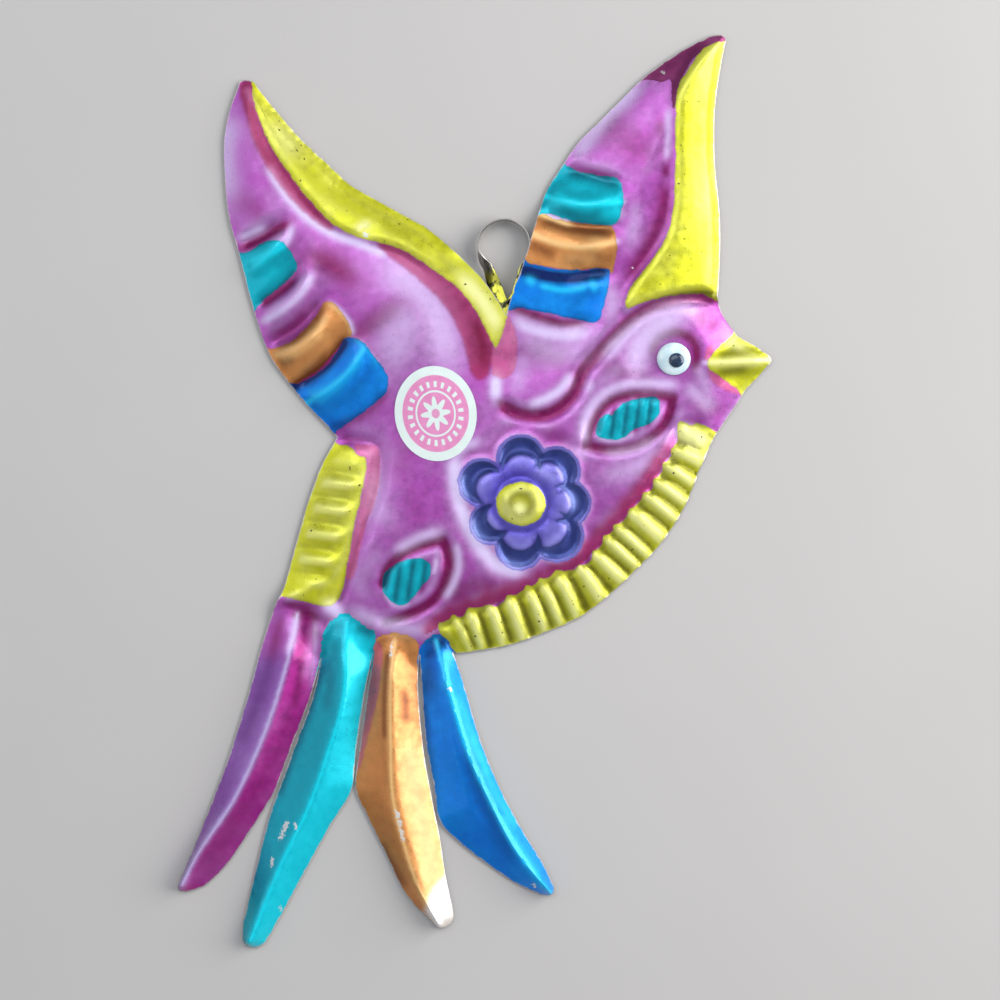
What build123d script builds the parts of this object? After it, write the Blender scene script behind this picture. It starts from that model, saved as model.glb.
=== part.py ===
from build123d import *
import math
import os

# Hand-lacquered tin ornament: a bird stamped from one sheet of tinplate.
# It lies on its back rim with the embossed face up: +Z is out of the face,
# +Y runs from the tail tips to the wing tips, and the origin is at the
# middle of the outline, on the table.

# Driving sizes, in millimetres
ORNAMENT_HEIGHT = 150.0
SHEET_THICKNESS = 0.35
BODY_CROWN = 3.4
BODY_CROWN_RUN = 6.0
FEATHER_ROOF = 2.7
FOLD_ROUND_SHARE = 0.45
ROOT_LIFT = 0.9
ROOT_LIFT_REACH = 4.5

# Stamped detail: how far it stands out or sinks in, and how wide it is
PLUME_CREST_HEIGHT = 1.0
PLUME_CREST_WIDTH = 1.7
PLUME_VALLEY_DEPTH = 0.9
PLUME_VALLEY_WIDTH = 1.4
STRIP_STEP = 0.9
STRIP_WALL = 1.8
NECK_GROOVE_DEPTH = 1.1
NECK_GROOVE_WIDTH = 1.3
HEM_GROOVE_DEPTH = 0.6
HEM_GROOVE_WIDTH = 1.3
LEAF_RING_DEPTH = 0.7
LEAF_RING_WIDTH = 1.4
BEAK_RIDGE_HEIGHT = 1.3
BEAK_RIDGE_WIDTH = 2.2
PILLOW_HEIGHT = 0.7
HEAD_DOME_HEIGHT = 0.5
FLOWER_BOSS_HEIGHT = 0.9
FLOWER_BOSS_RADIUS = 3.7
FLOWER_PETAL_RISE = 0.45
FLOWER_PETAL_COUNT = 7
PETAL_RING_SHARE = 0.75
PETAL_WIDTH_SHARE = 0.25
RUMP_RIB_HEIGHT = 0.35
RUMP_RIB_FADE_SHARE = 0.25

# Hanging loop of bare tin strip, and its solder
LOOP_BORE_RADIUS = 4.1
LOOP_STRIP_THICKNESS = 0.3
LOOP_STRIP_WIDTH = 2.2
LOOP_OFF_TABLE = 0.3
LOOP_ARC_SHARE = 0.78
FOOT_LENGTH = 6.0
FOOT_LAP = 0.8
SOLDER_LENGTH = 7.0
SOLDER_WIDTH = 5.2
SOLDER_DROP = 1.3
SOLDER_PLACE_SHARE = 0.55

# Sticker and enamel eye
STICKER_LENGTH = 15.6
STICKER_WIDTH = 13.4
STICKER_THICKNESS = 0.15
STICKER_TILT = 8.0
EYE_RADIUS = 2.8
EYE_DROP_HEIGHT = 0.7
EYE_SEAT_HEIGHT = 2.5
EYE_SEAT_MARGIN = 1.6
EYE_SEAT_BLEND = 2.6
PUPIL_RADIUS = 1.3
PUPIL_STANDOFF = 0.35

# Clearance between pieces that lie on each other, and the cutters' overrun
FIT_GAP = 0.06
LOOP_SEAT_GAP = 0.1
OVERRUN = 5.0

# Spacing of the points that carry the stamped surface
GRID_PITCH = 1.8
GRID_MARGIN_COUNT = 4
NEIGHBOUR_WEIGHTS = [(-1, 0.25), (0, 0.5), (1, 0.25)]
SURFACE_TOLERANCE = 0.03

# Photograph pixels: the frame that every outline point is given in
WING_TOP_PX = 35.0
TAIL_END_PX = 947.0
MIDDLE_X_PX = 474.5
MIDDLE_Y_PX = 491.0
SCALE = ORNAMENT_HEIGHT / (TAIL_END_PX - WING_TOP_PX)

# Outline, clockwise from the left wing's tip. Each run starts where the last one ends.
LEFT_WING_TIP_PX = [(247, 80), (254.6, 83)]
LEFT_WING_TOP_PX = [(268, 101), (298, 136), (331, 167), (354, 187), (401, 213.5), (432, 232), (474, 271),
                    (493, 294), (506, 316)]
RIGHT_WING_LEFT_PX = [(513, 292), (522, 268), (530.5, 241), (539, 212), (547, 190), (561, 168), (578, 143),
                      (599, 122), (625, 96), (646, 76), (677, 54), (708.6, 37)]
RIGHT_WING_TIP_PX = [(718, 35), (724.5, 36.5), (725.6, 41)]
RIGHT_WING_RIGHT_PX = [(720, 70), (715, 106), (714, 138), (715, 169), (719, 208), (720, 247), (717.7, 297)]
FOREHEAD_PX = [(722, 313), (737, 336)]
BEAK_TOP_PX = [(755, 346), (769, 356)]
BEAK_TIP_PX = [(771.5, 360), (769, 365)]
BEAK_BOTTOM_PX = [(758, 377), (745, 391)]
BREAST_PX = [(740, 399), (724, 423), (714, 438), (701, 467), (684, 508), (662, 542), (638, 568), (609, 595),
             (580, 617), (541, 634), (505, 646), (461, 653), (453, 652)]
FEATHER_4_RIGHT_PX = [(464, 685), (479.5, 737), (498, 784), (521, 828), (542, 862), (554, 886)]
FEATHER_4_TIP_PX = [(554, 892), (549, 895.5), (540, 894)]
FEATHER_4_LEFT_PX = [(516, 883), (485, 862), (456, 839), (439.5, 820), (434.5, 789), (426, 742), (422.5, 698),
                     (419.5, 655)]
FEATHER_3_RIGHT_PX = [(418, 690), (423, 747), (431, 794), (439.5, 836), (445.5, 875.5), (453, 909.5)]
FEATHER_3_TIP_PX = [(453.5, 918), (450, 924), (440, 928), (430, 920)]
FEATHER_3_LEFT_PX = [(406, 894), (385, 852), (367, 815), (355.5, 787), (359.5, 750), (367, 698), (373, 653)]
FEATHER_2_RIGHT_PX = [(364, 698), (356, 750), (351, 791), (330, 826), (307, 868), (283, 912), (265, 943)]
FEATHER_2_TIP_PX = [(258, 947), (249, 946.5), (242.5, 940), (243, 923)]
FEATHER_2_LEFT_PX = [(257, 865), (270, 815), (283, 779), (296.5, 742), (312.5, 698), (321.5, 658)]
FEATHER_1_RIGHT_PX = [(310, 698), (293, 742), (284, 766), (274, 792), (255, 823), (228.5, 862), (206, 885)]
FEATHER_1_TIP_PX = [(190, 891), (178.5, 890), (178, 884)]
FEATHER_1_LEFT_PX = [(194, 847), (202, 827), (225, 768), (247, 700), (262, 645), (277, 601)]
RUMP_EDGE_PX = [(284, 588), (295.5, 546), (308, 503), (321, 467), (337, 438)]
LEFT_WING_EDGE_PX = [(330, 429), (305.5, 403), (280.5, 372), (268, 351), (253, 308), (239.5, 256), (228, 211),
                     (224, 153), (226, 128), (231.6, 105), (240, 82)]

# Roots of the tail feathers, from the outline's left side to its right
ROOT_LINE_PX = [(277, 601), (299, 610), (321.5, 620), (346, 614), (360, 622), (373, 634), (395, 632), (412, 638),
                (422, 645), (438, 634)]
FEATHER_1_ROOT_PX = [(299, 608), (321, 616)]
FEATHER_2_ROOT_PX = [(324, 635), (333, 622), (346, 615), (360, 624), (375, 631)]
FEATHER_3_ROOT_PX = [(375, 643), (383, 636), (401, 635), (414, 641), (419, 651)]
FEATHER_4_ROOT_PX = [(421, 651), (425, 641), (437, 634), (448, 640), (453, 652)]
FEATHER_1_RIDGE_PX = [(298, 614), (289, 658), (268, 726), (236, 797), (202, 847), (182, 884)]
FEATHER_2_RIDGE_PX = [(347, 622), (344, 695), (330, 747), (309.5, 805), (281, 865), (250, 940)]
FEATHER_3_RIDGE_PX = [(395, 640), (391, 685), (391, 737), (393, 794), (404, 841.5), (419, 886), (440, 924)]
FEATHER_4_RIDGE_PX = [(436, 640), (440, 656), (451, 698), (466, 747), (487, 794), (516, 849), (551, 892)]

# Wing plumes: crest lines, and the valleys between plumes
PLUME_CRESTS_PX = [
    [(244, 273), (255, 267), (271, 255), (290, 232)],
    [(268, 319), (295, 300), (307, 284), (314, 270)],
    [(275, 361), (287, 356), (305, 347), (328, 325)],
    [(306, 404), (328, 393), (345, 380), (357, 364), (365, 347)],
    [(544, 194), (583, 206), (622, 200)],
    [(531, 232), (557, 245), (583, 249), (612, 244)],
    [(525.5, 284), (557, 292), (593.5, 285)],
]
PLUME_VALLEYS_PX = [
    [(237, 245), (260, 236), (283, 224)],
    [(254, 308), (283, 288), (300, 268)],
    [(268, 345), (300, 326), (322, 300)],
    [(293, 387), (317, 373), (336, 351), (346, 336)],
    [(562, 168), (588, 176), (621, 186)],
    [(537, 215), (567, 225), (615, 229)],
    [(518, 268), (546, 277), (583, 275), (608, 274)],
]

# Raised yellow strips along the outer edge of each wing
LEFT_STRIP_PX = [(254.6, 83), (268, 101), (298, 136), (331, 167), (354, 187), (401, 213.5), (432, 232), (474, 271),
                 (493, 294), (506, 316), (497, 347), (490, 339), (477, 313), (461, 292), (445.5, 279), (424.6, 264.5),
                 (401, 250), (380, 243.6), (357, 238), (333, 225), (308, 199), (293, 179), (268, 140.5), (254, 100)]
RIGHT_STRIP_PX = [(723, 43.5), (720, 70), (715, 106), (714, 138), (715, 169), (719, 208), (720, 247), (717.7, 297),
                  (701, 294), (675, 296), (646, 302), (626, 310), (626, 297), (635, 281.5), (651, 261), (667, 234),
                  (673, 203), (674.6, 166), (674.6, 125), (677, 91), (688, 70), (703, 50)]

# Grooves, the beak's ridge, leaves, flower and rounded swellings
NECK_GROOVE_PX = [(715, 297), (688, 297), (661, 301), (635, 312), (614, 326), (593, 349), (580, 368), (575, 386),
                  (562, 402), (546, 412), (525, 415), (497, 403)]
HEM_GROOVE_PX = [(677, 432), (668, 457), (648, 489), (626, 518), (599, 546), (575, 568), (540, 588), (505, 604),
                 (468, 612), (438, 629)]
RUMP_GROOVE_PX = [(346, 440), (378, 446), (379, 480), (371, 510), (359, 545), (349, 575), (340, 600)]
BEAK_RIDGE_PX = [(706, 363.6), (738, 361.5), (768, 360)]
UPPER_LEAF_PX = (630, 420)
UPPER_LEAF_LENGTH_PX = 88
UPPER_LEAF_WIDTH_PX = 50
UPPER_LEAF_TURN = 32.0
LOWER_LEAF_PX = (417, 579)
LOWER_LEAF_LENGTH_PX = 72
LOWER_LEAF_WIDTH_PX = 46
LOWER_LEAF_TURN = 28.0
FLOWER_PX = (521, 503.5)
FLOWER_REACH_PX = 67
FLOWER_FIRST_PETAL = 90.0
PILLOW_PX = (428, 308)
PILLOW_LENGTH_PX = 130
PILLOW_WIDTH_PX = 96
PILLOW_TURN = -50.0
HEAD_DOME_PX = (658, 352)
HEAD_DOME_SPAN_PX = 120
RUMP_RIB_AXIS_PX = [(346, 452), (303, 592)]
RUMP_RIB_HALF_SPAN_PX = 26
RUMP_RIB_COUNT = 5

# Places of the small pieces
LOOP_CENTRE_PX = (503.8, 246)
CROTCH_PX = (506, 316)
LOOP_SEAT_PX = (507, 292)
LOOP_SEAT_FLAT = 8.6
LOOP_SEAT_FADE = 9.0
STICKER_PX = (436, 414)
EYE_PX = (673, 359.5)
PUPIL_PX = (675.5, 361)

BODY_RUNS_PX = [LEFT_WING_TIP_PX, LEFT_WING_TOP_PX, RIGHT_WING_LEFT_PX, RIGHT_WING_TIP_PX, RIGHT_WING_RIGHT_PX,
                FOREHEAD_PX, BEAK_TOP_PX, BEAK_TIP_PX, BEAK_BOTTOM_PX, BREAST_PX]
TAIL_RUNS_PX = [FEATHER_4_RIGHT_PX, FEATHER_4_TIP_PX, FEATHER_4_LEFT_PX, FEATHER_3_RIGHT_PX, FEATHER_3_TIP_PX,
                FEATHER_3_LEFT_PX, FEATHER_2_RIGHT_PX, FEATHER_2_TIP_PX, FEATHER_2_LEFT_PX, FEATHER_1_RIGHT_PX,
                FEATHER_1_TIP_PX, FEATHER_1_LEFT_PX]
BACK_RUNS_PX = [RUMP_EDGE_PX, LEFT_WING_EDGE_PX]

LOOP_SEAT_HEIGHT = LOOP_OFF_TABLE + LOOP_STRIP_WIDTH + LOOP_SEAT_GAP


def place(point_px):
    """Millimetres from a pixel of the photograph."""
    return (point_px[0] - MIDDLE_X_PX) * SCALE, (MIDDLE_Y_PX - point_px[1]) * SCALE


def placed(points_px):
    return [place(point_px) for point_px in points_px]


def joined(runs_px):
    return [place(point_px) for run in runs_px for point_px in run]


def gap_to_line(point, line):
    """Shortest distance from a point to a broken line."""
    best = math.inf
    for (ax, ay), (bx, by) in zip(line, line[1:]):
        dx, dy = bx - ax, by - ay
        along = ((point[0] - ax) * dx + (point[1] - ay) * dy) / (dx * dx + dy * dy)
        along = min(1, max(0, along))
        best = min(best, math.hypot(point[0] - ax - along * dx, point[1] - ay - along * dy))
    return best


def inside(point, loop):
    """True where a point lies within a closed broken line."""
    hit = False
    for (ax, ay), (bx, by) in zip(loop, loop[1:] + loop[:1]):
        if (ay > point[1]) != (by > point[1]) and point[0] < ax + (point[1] - ay) * (bx - ax) / (by - ay):
            hit = not hit
    return hit


def smooth(share):
    share = min(1, max(0, share))
    return share * share * (3 - 2 * share)


def bell(distance, width):
    return math.exp(-((distance / width) ** 2))


def oval_share(point, centre_px, length_px, width_px, turn):
    """0 at an oval's centre and 1 on its rim."""
    cx, cy = place(centre_px)
    dx, dy = point[0] - cx, point[1] - cy
    turn = math.radians(turn)
    along = (dx * math.cos(turn) + dy * math.sin(turn)) * 2 / (length_px * SCALE)
    across = (dy * math.cos(turn) - dx * math.sin(turn)) * 2 / (width_px * SCALE)
    return math.hypot(along, across)


BODY_LOOP = joined(BODY_RUNS_PX + [ROOT_LINE_PX[::-1]] + BACK_RUNS_PX)
ROOT_LINE = placed(ROOT_LINE_PX)
CRESTS = [placed(line) for line in PLUME_CRESTS_PX]
VALLEYS = [placed(line) for line in PLUME_VALLEYS_PX]
STRIPS = [placed(line) for line in (LEFT_STRIP_PX, RIGHT_STRIP_PX)]
NECK_GROOVE = placed(NECK_GROOVE_PX)
HEM_GROOVE = placed(HEM_GROOVE_PX)
RUMP_GROOVE = placed(RUMP_GROOVE_PX)
BEAK_RIDGE = placed(BEAK_RIDGE_PX)
FEATHERS = [
    (joined([FEATHER_1_ROOT_PX, FEATHER_2_LEFT_PX[-1:], FEATHER_1_RIGHT_PX, FEATHER_1_TIP_PX, FEATHER_1_LEFT_PX]),
     placed(FEATHER_1_RIDGE_PX)),
    (joined([FEATHER_2_ROOT_PX, FEATHER_3_LEFT_PX[-1:], FEATHER_2_RIGHT_PX, FEATHER_2_TIP_PX, FEATHER_2_LEFT_PX]),
     placed(FEATHER_2_RIDGE_PX)),
    (joined([FEATHER_3_ROOT_PX, FEATHER_4_LEFT_PX[-1:], FEATHER_3_RIGHT_PX, FEATHER_3_TIP_PX, FEATHER_3_LEFT_PX]),
     placed(FEATHER_3_RIDGE_PX)),
    (joined([FEATHER_4_ROOT_PX, FEATHER_4_RIGHT_PX, FEATHER_4_TIP_PX, FEATHER_4_LEFT_PX]),
     placed(FEATHER_4_RIDGE_PX)),
]


def closed(loop):
    return loop + loop[:1]


def leaf_ring(point, centre_px, length_px, width_px, turn):
    """Sunk ring round a leaf, which leaves the leaf itself standing in the middle."""
    share = oval_share(point, centre_px, length_px, width_px, turn)
    return LEAF_RING_DEPTH * bell((share - 1) * width_px * SCALE / 2, LEAF_RING_WIDTH)


def flower_rise(point):
    """The boss and the scalloped petals round it."""
    cx, cy = place(FLOWER_PX)
    radius = math.hypot(point[0] - cx, point[1] - cy)
    angle = math.atan2(point[1] - cy, point[0] - cx) - math.radians(FLOWER_FIRST_PETAL)
    reach = FLOWER_REACH_PX * SCALE
    ring = bell(radius - reach * PETAL_RING_SHARE, reach * PETAL_WIDTH_SHARE)
    petal = FLOWER_PETAL_RISE * math.cos(FLOWER_PETAL_COUNT * angle) * ring
    return petal + FLOWER_BOSS_HEIGHT * smooth(1 + (FLOWER_BOSS_RADIUS - radius) / FLOWER_BOSS_RADIUS)


def rump_ribs(point):
    """Short cross ribs down the rump patch."""
    (ax, ay), (bx, by) = placed(RUMP_RIB_AXIS_PX)
    length = math.hypot(bx - ax, by - ay)
    along = ((point[0] - ax) * (bx - ax) + (point[1] - ay) * (by - ay)) / length
    across = ((point[0] - ax) * (by - ay) - (point[1] - ay) * (bx - ax)) / length
    half_span = RUMP_RIB_HALF_SPAN_PX * SCALE
    side = smooth((half_span - abs(across)) / (half_span / 2))
    fade = length * RUMP_RIB_FADE_SHARE
    end = smooth(along / fade) * smooth((length - along) / fade)
    return RUMP_RIB_HEIGHT * math.sin(2 * math.pi * RUMP_RIB_COUNT * along / length) * side * end


def body_height(point):
    """Stamped height of the body and wings at a point inside them."""
    edge = gap_to_line(point, closed(BODY_LOOP))
    height = BODY_CROWN * (1 - math.exp(-edge / BODY_CROWN_RUN))
    fade = smooth(edge / STRIP_WALL)
    detail = 0
    for crest in CRESTS:
        detail += PLUME_CREST_HEIGHT * bell(gap_to_line(point, crest), PLUME_CREST_WIDTH)
    for valley in VALLEYS:
        detail -= PLUME_VALLEY_DEPTH * bell(gap_to_line(point, valley), PLUME_VALLEY_WIDTH)
    for strip in STRIPS:
        wall = gap_to_line(point, closed(strip)) * (1 if inside(point, strip) else -1)
        detail += STRIP_STEP * smooth((wall / STRIP_WALL + 1) / 2)
    detail -= NECK_GROOVE_DEPTH * bell(gap_to_line(point, NECK_GROOVE), NECK_GROOVE_WIDTH)
    detail -= HEM_GROOVE_DEPTH * bell(gap_to_line(point, HEM_GROOVE), HEM_GROOVE_WIDTH)
    detail -= HEM_GROOVE_DEPTH * bell(gap_to_line(point, RUMP_GROOVE), HEM_GROOVE_WIDTH)
    detail += BEAK_RIDGE_HEIGHT * bell(gap_to_line(point, BEAK_RIDGE), BEAK_RIDGE_WIDTH)
    detail -= leaf_ring(point, UPPER_LEAF_PX, UPPER_LEAF_LENGTH_PX, UPPER_LEAF_WIDTH_PX, UPPER_LEAF_TURN)
    detail -= leaf_ring(point, LOWER_LEAF_PX, LOWER_LEAF_LENGTH_PX, LOWER_LEAF_WIDTH_PX, LOWER_LEAF_TURN)
    pillow = oval_share(point, PILLOW_PX, PILLOW_LENGTH_PX, PILLOW_WIDTH_PX, PILLOW_TURN)
    head = oval_share(point, HEAD_DOME_PX, HEAD_DOME_SPAN_PX, HEAD_DOME_SPAN_PX, 0)
    detail += PILLOW_HEIGHT * bell(pillow, 1) + HEAD_DOME_HEIGHT * bell(head, 1)
    detail += flower_rise(point) + rump_ribs(point)
    return height + detail * fade


def rounded_fold(share):
    """Profile of a folded roof from its edge, 0, to its ridge, 1, with the fold's top rounded."""
    reach = math.hypot(1, FOLD_ROUND_SHARE)
    return (reach - math.hypot(1 - share, FOLD_ROUND_SHARE)) / (reach - FOLD_ROUND_SHARE)


def feather_height(point):
    """Folded-roof height of whichever tail feather holds the point."""
    for loop, ridge in FEATHERS:
        if inside(point, loop):
            edge = gap_to_line(point, closed(loop))
            return FEATHER_ROOF * rounded_fold(edge / (edge + gap_to_line(point, ridge)))
    return 0


def relief(point):
    """Height of the sheet's back face over the table."""
    height = body_height(point) if inside(point, BODY_LOOP) else feather_height(point)
    height += ROOT_LIFT * bell(gap_to_line(point, ROOT_LINE), ROOT_LIFT_REACH)
    for seat_px, seat_height, flat, fade in (
        (LOOP_SEAT_PX, LOOP_SEAT_HEIGHT, LOOP_SEAT_FLAT, LOOP_SEAT_FADE),
        (EYE_PX, EYE_SEAT_HEIGHT, EYE_RADIUS + EYE_SEAT_MARGIN, EYE_SEAT_BLEND),
    ):
        x, y = place(seat_px)
        away = math.hypot(point[0] - x, point[1] - y)
        blend = smooth(1 - (away - flat) / fade)
        height = seat_height * blend + height * (1 - blend)
    return height


def formed(heights, column, row):
    """Height at a grid point, evened out with its neighbours as sheet metal does over a die's sharp edges."""
    total = 0
    for across, across_weight in NEIGHBOUR_WEIGHTS:
        for up, up_weight in NEIGHBOUR_WEIGHTS:
            total += heights[column + across][row + up] * across_weight * up_weight
    return total


def stamped_surface():
    """The die's surface over the whole outline, before it is cut out."""
    loop = joined(BODY_RUNS_PX + TAIL_RUNS_PX + BACK_RUNS_PX)
    left, right = min(x for x, y in loop), max(x for x, y in loop)
    low, high = min(y for x, y in loop), max(y for x, y in loop)
    columns = math.ceil((right - left) / GRID_PITCH) + 2 * GRID_MARGIN_COUNT
    rows = math.ceil((high - low) / GRID_PITCH) + 2 * GRID_MARGIN_COUNT
    xs = [left + (column - GRID_MARGIN_COUNT) * GRID_PITCH for column in range(columns)]
    ys = [low + (row - GRID_MARGIN_COUNT) * GRID_PITCH for row in range(rows)]
    heights = [[relief((x, y)) for y in ys] for x in xs]
    grid = [
        [(xs[column], ys[row], formed(heights, column, row)) for row in range(1, rows - 1)]
        for column in range(1, columns - 1)
    ]
    return Face.make_surface_from_array_of_points(grid, tol=SURFACE_TOLERANCE, min_deg=3, max_deg=3)


def outline():
    """Closed outline of the blank, with the slits between the tail feathers."""
    runs = BODY_RUNS_PX + TAIL_RUNS_PX + BACK_RUNS_PX
    start = runs[-1][-1]
    edges = []
    for run in runs:
        points = placed([start] + [point for point in run if point != start])
        edges.append(Line(*points).edge() if len(points) == 2 else Spline(*points).edge())
        start = run[-1]
    return Wire(edges)


def cut_to(surface, wire):
    """The part of a surface that lies within an outline seen from above."""
    cutter = extrude(Face(wire), BODY_CROWN + OVERRUN, both=True)
    return (surface & cutter).faces()[0]


def bird_sheet(surface):
    """One blank of tinplate, stamped to the die's surface and cut to its outline."""
    return Solid.extrude(cut_to(surface, outline()), Vector(0, 0, SHEET_THICKNESS))


def sticker(surface):
    """Oval paper label that follows the stamped surface."""
    x, y = place(STICKER_PX)
    oval = Ellipse(STICKER_WIDTH / 2, STICKER_LENGTH / 2).wire()
    wire = Location((x, y, 0), (0, 0, STICKER_TILT)) * oval
    lifted = Pos(0, 0, SHEET_THICKNESS + FIT_GAP) * surface
    return Solid.extrude(cut_to(lifted, wire), Vector(0, 0, STICKER_THICKNESS))


def teardrop(radius, point_drop):
    """Outline of the bent strip at one of its faces: a round eye and two legs that meet at the crotch."""
    cx, cy = place(LOOP_CENTRE_PX)
    kx, ky = place(CROTCH_PX)
    half_open = math.pi * (1 - LOOP_ARC_SHARE)
    down = math.atan2(ky - cy, kx - cx)
    start = (cx + radius * math.cos(down + half_open), cy + radius * math.sin(down + half_open))
    end = (cx + radius * math.cos(down - half_open), cy + radius * math.sin(down - half_open))
    top = (cx - radius * math.cos(down), cy - radius * math.sin(down))
    tip = (kx + point_drop * math.cos(down), ky + point_drop * math.sin(down))
    return Wire([ThreePointArc(start, top, end).edge(), Line(end, tip).edge(), Line(tip, start).edge()])


def loop_foot():
    """Flattened ends of the strip, laid against the back of the sheet below the crotch."""
    kx, ky = place(CROTCH_PX)
    foot = Box(LOOP_STRIP_WIDTH, FOOT_LENGTH + FOOT_LAP, LOOP_STRIP_THICKNESS * 2,
               align=(Align.CENTER, Align.MAX, Align.MAX))
    return Pos(kx, ky + FOOT_LAP, LOOP_SEAT_HEIGHT - LOOP_SEAT_GAP) * foot


def hanging_loop():
    """Tin strip bent round a rod into an eye, its width along the eye's axis."""
    outer = Face(teardrop(LOOP_BORE_RADIUS + LOOP_STRIP_THICKNESS, LOOP_STRIP_THICKNESS * 2))
    inner = Face(teardrop(LOOP_BORE_RADIUS, -LOOP_STRIP_THICKNESS * 2))
    band = Pos(0, 0, LOOP_OFF_TABLE) * extrude(outer - inner, LOOP_STRIP_WIDTH)
    return (band + loop_foot()).solid()


def loop_solder():
    """Blob of solder over the foot, wetted to the back of the sheet."""
    kx, ky = place(CROTCH_PX)
    ball = Sphere(SOLDER_DROP)
    blob = scale(ball, (SOLDER_WIDTH / 2 / SOLDER_DROP, SOLDER_LENGTH / 2 / SOLDER_DROP, 1))
    centre = Pos(kx, ky - FOOT_LENGTH * SOLDER_PLACE_SHARE, LOOP_SEAT_HEIGHT - LOOP_SEAT_GAP)
    above = Box(SOLDER_WIDTH + OVERRUN, SOLDER_LENGTH + OVERRUN, SOLDER_DROP + OVERRUN,
                align=(Align.CENTER, Align.CENTER, Align.MIN))
    return (centre * (blob - above) - loop_foot()).solid()


def eye_white():
    """White enamel drop in the eye's round seat."""
    return dome(EYE_PX, EYE_RADIUS, EYE_DROP_HEIGHT, EYE_SEAT_HEIGHT + SHEET_THICKNESS + FIT_GAP)


def dome(centre_px, radius, height, base):
    """Flat-bottomed drop: the cap of a ball."""
    x, y = place(centre_px)
    ball_radius = (radius * radius + height * height) / (2 * height)
    ball = Pos(x, y, base + height - ball_radius) * Sphere(ball_radius)
    span = 2 * (radius + OVERRUN)
    keep = Pos(x, y, base) * Box(span, span, height + OVERRUN, align=(Align.CENTER, Align.CENTER, Align.MIN))
    return (ball & keep).solid()


def eye_pupil(white):
    """Dark enamel drop set on the white one."""
    base = EYE_SEAT_HEIGHT + SHEET_THICKNESS + FIT_GAP
    drop = dome(PUPIL_PX, PUPIL_RADIUS, EYE_DROP_HEIGHT + PUPIL_STANDOFF, base)
    return (drop - Pos(0, 0, FIT_GAP) * white - white).solid()


surface = stamped_surface()
white = eye_white()
parts = {
    "bird_sheet": bird_sheet(surface),
    "hanging_loop": hanging_loop(),
    "loop_solder": loop_solder(),
    "sticker": sticker(surface),
    "eye_white": white,
    "eye_pupil": eye_pupil(white),
}
os.makedirs("parts", exist_ok=True)
for node, solid in parts.items():
    export_step(solid, f"parts/{node}.step")
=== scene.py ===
import math

import bpy
import numpy as np
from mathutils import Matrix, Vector
from mathutils.geometry import delaunay_2d_cdt


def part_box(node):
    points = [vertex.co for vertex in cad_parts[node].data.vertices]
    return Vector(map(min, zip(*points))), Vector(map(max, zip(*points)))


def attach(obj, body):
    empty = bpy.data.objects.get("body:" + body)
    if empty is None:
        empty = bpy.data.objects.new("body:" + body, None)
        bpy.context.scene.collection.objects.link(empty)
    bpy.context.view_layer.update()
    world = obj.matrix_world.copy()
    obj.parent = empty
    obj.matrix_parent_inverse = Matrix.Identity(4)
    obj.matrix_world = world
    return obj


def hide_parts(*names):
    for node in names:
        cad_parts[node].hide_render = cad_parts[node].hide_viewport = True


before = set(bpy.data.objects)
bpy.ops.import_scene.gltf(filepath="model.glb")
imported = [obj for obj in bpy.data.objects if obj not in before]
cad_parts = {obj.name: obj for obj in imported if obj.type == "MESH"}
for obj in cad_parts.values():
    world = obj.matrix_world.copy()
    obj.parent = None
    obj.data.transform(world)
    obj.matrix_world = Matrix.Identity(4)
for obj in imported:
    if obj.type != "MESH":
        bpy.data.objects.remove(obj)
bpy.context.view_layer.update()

# Stamped sheet: one blank of tinplate about a third of a millimetre thick, cut to a
# bird's outline with slits between the tail feathers, stamped from the back, and then
# brushed with see-through coloured lacquers that let the tin shine through.
MM = 0.001
SHEET = 0.35
PX = 150 / 912
MIDDLE_X_PX, MIDDLE_Y_PX = 474.5, 491

# The blank's edge in photo pixels, clockwise: each run starts where the last one ends, and
# the corners between the runs stay sharp
LEFT_WING_TOP = [(268, 101), (298, 136), (331, 167), (354, 187), (401, 213.5), (432, 232), (474, 271), (493, 294),
                 (506, 316)]
RIGHT_WING_RIGHT = [(720, 70), (715, 106), (714, 138), (715, 169), (719, 208), (720, 247), (717.7, 297)]
BODY_RUNS = [
    [(247, 80), (254.6, 83)],
    LEFT_WING_TOP,
    [(513, 292), (522, 268), (530.5, 241), (539, 212), (547, 190), (561, 168), (578, 143), (599, 122), (625, 96),
     (646, 76), (677, 54), (708.6, 37)],
    [(718, 35), (724.5, 36.5), (725.6, 41)],
    RIGHT_WING_RIGHT,
    [(722, 313), (737, 336)],
    [(755, 346), (769, 356)],
    [(771.5, 360), (769, 365)],
    [(758, 377), (745, 391)],
    [(740, 399), (724, 423), (714, 438), (701, 467), (684, 508), (662, 542), (638, 568), (609, 595), (580, 617),
     (541, 634), (505, 646), (461, 653), (453, 652)],
]
BACK_RUNS = [
    [(284, 588), (295.5, 546), (308, 503), (321, 467), (337, 438)],
    [(330, 429), (305.5, 403), (280.5, 372), (268, 351), (253, 308), (239.5, 256), (228, 211), (224, 153),
     (226, 128), (231.6, 105), (240, 82)],
]
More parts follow.
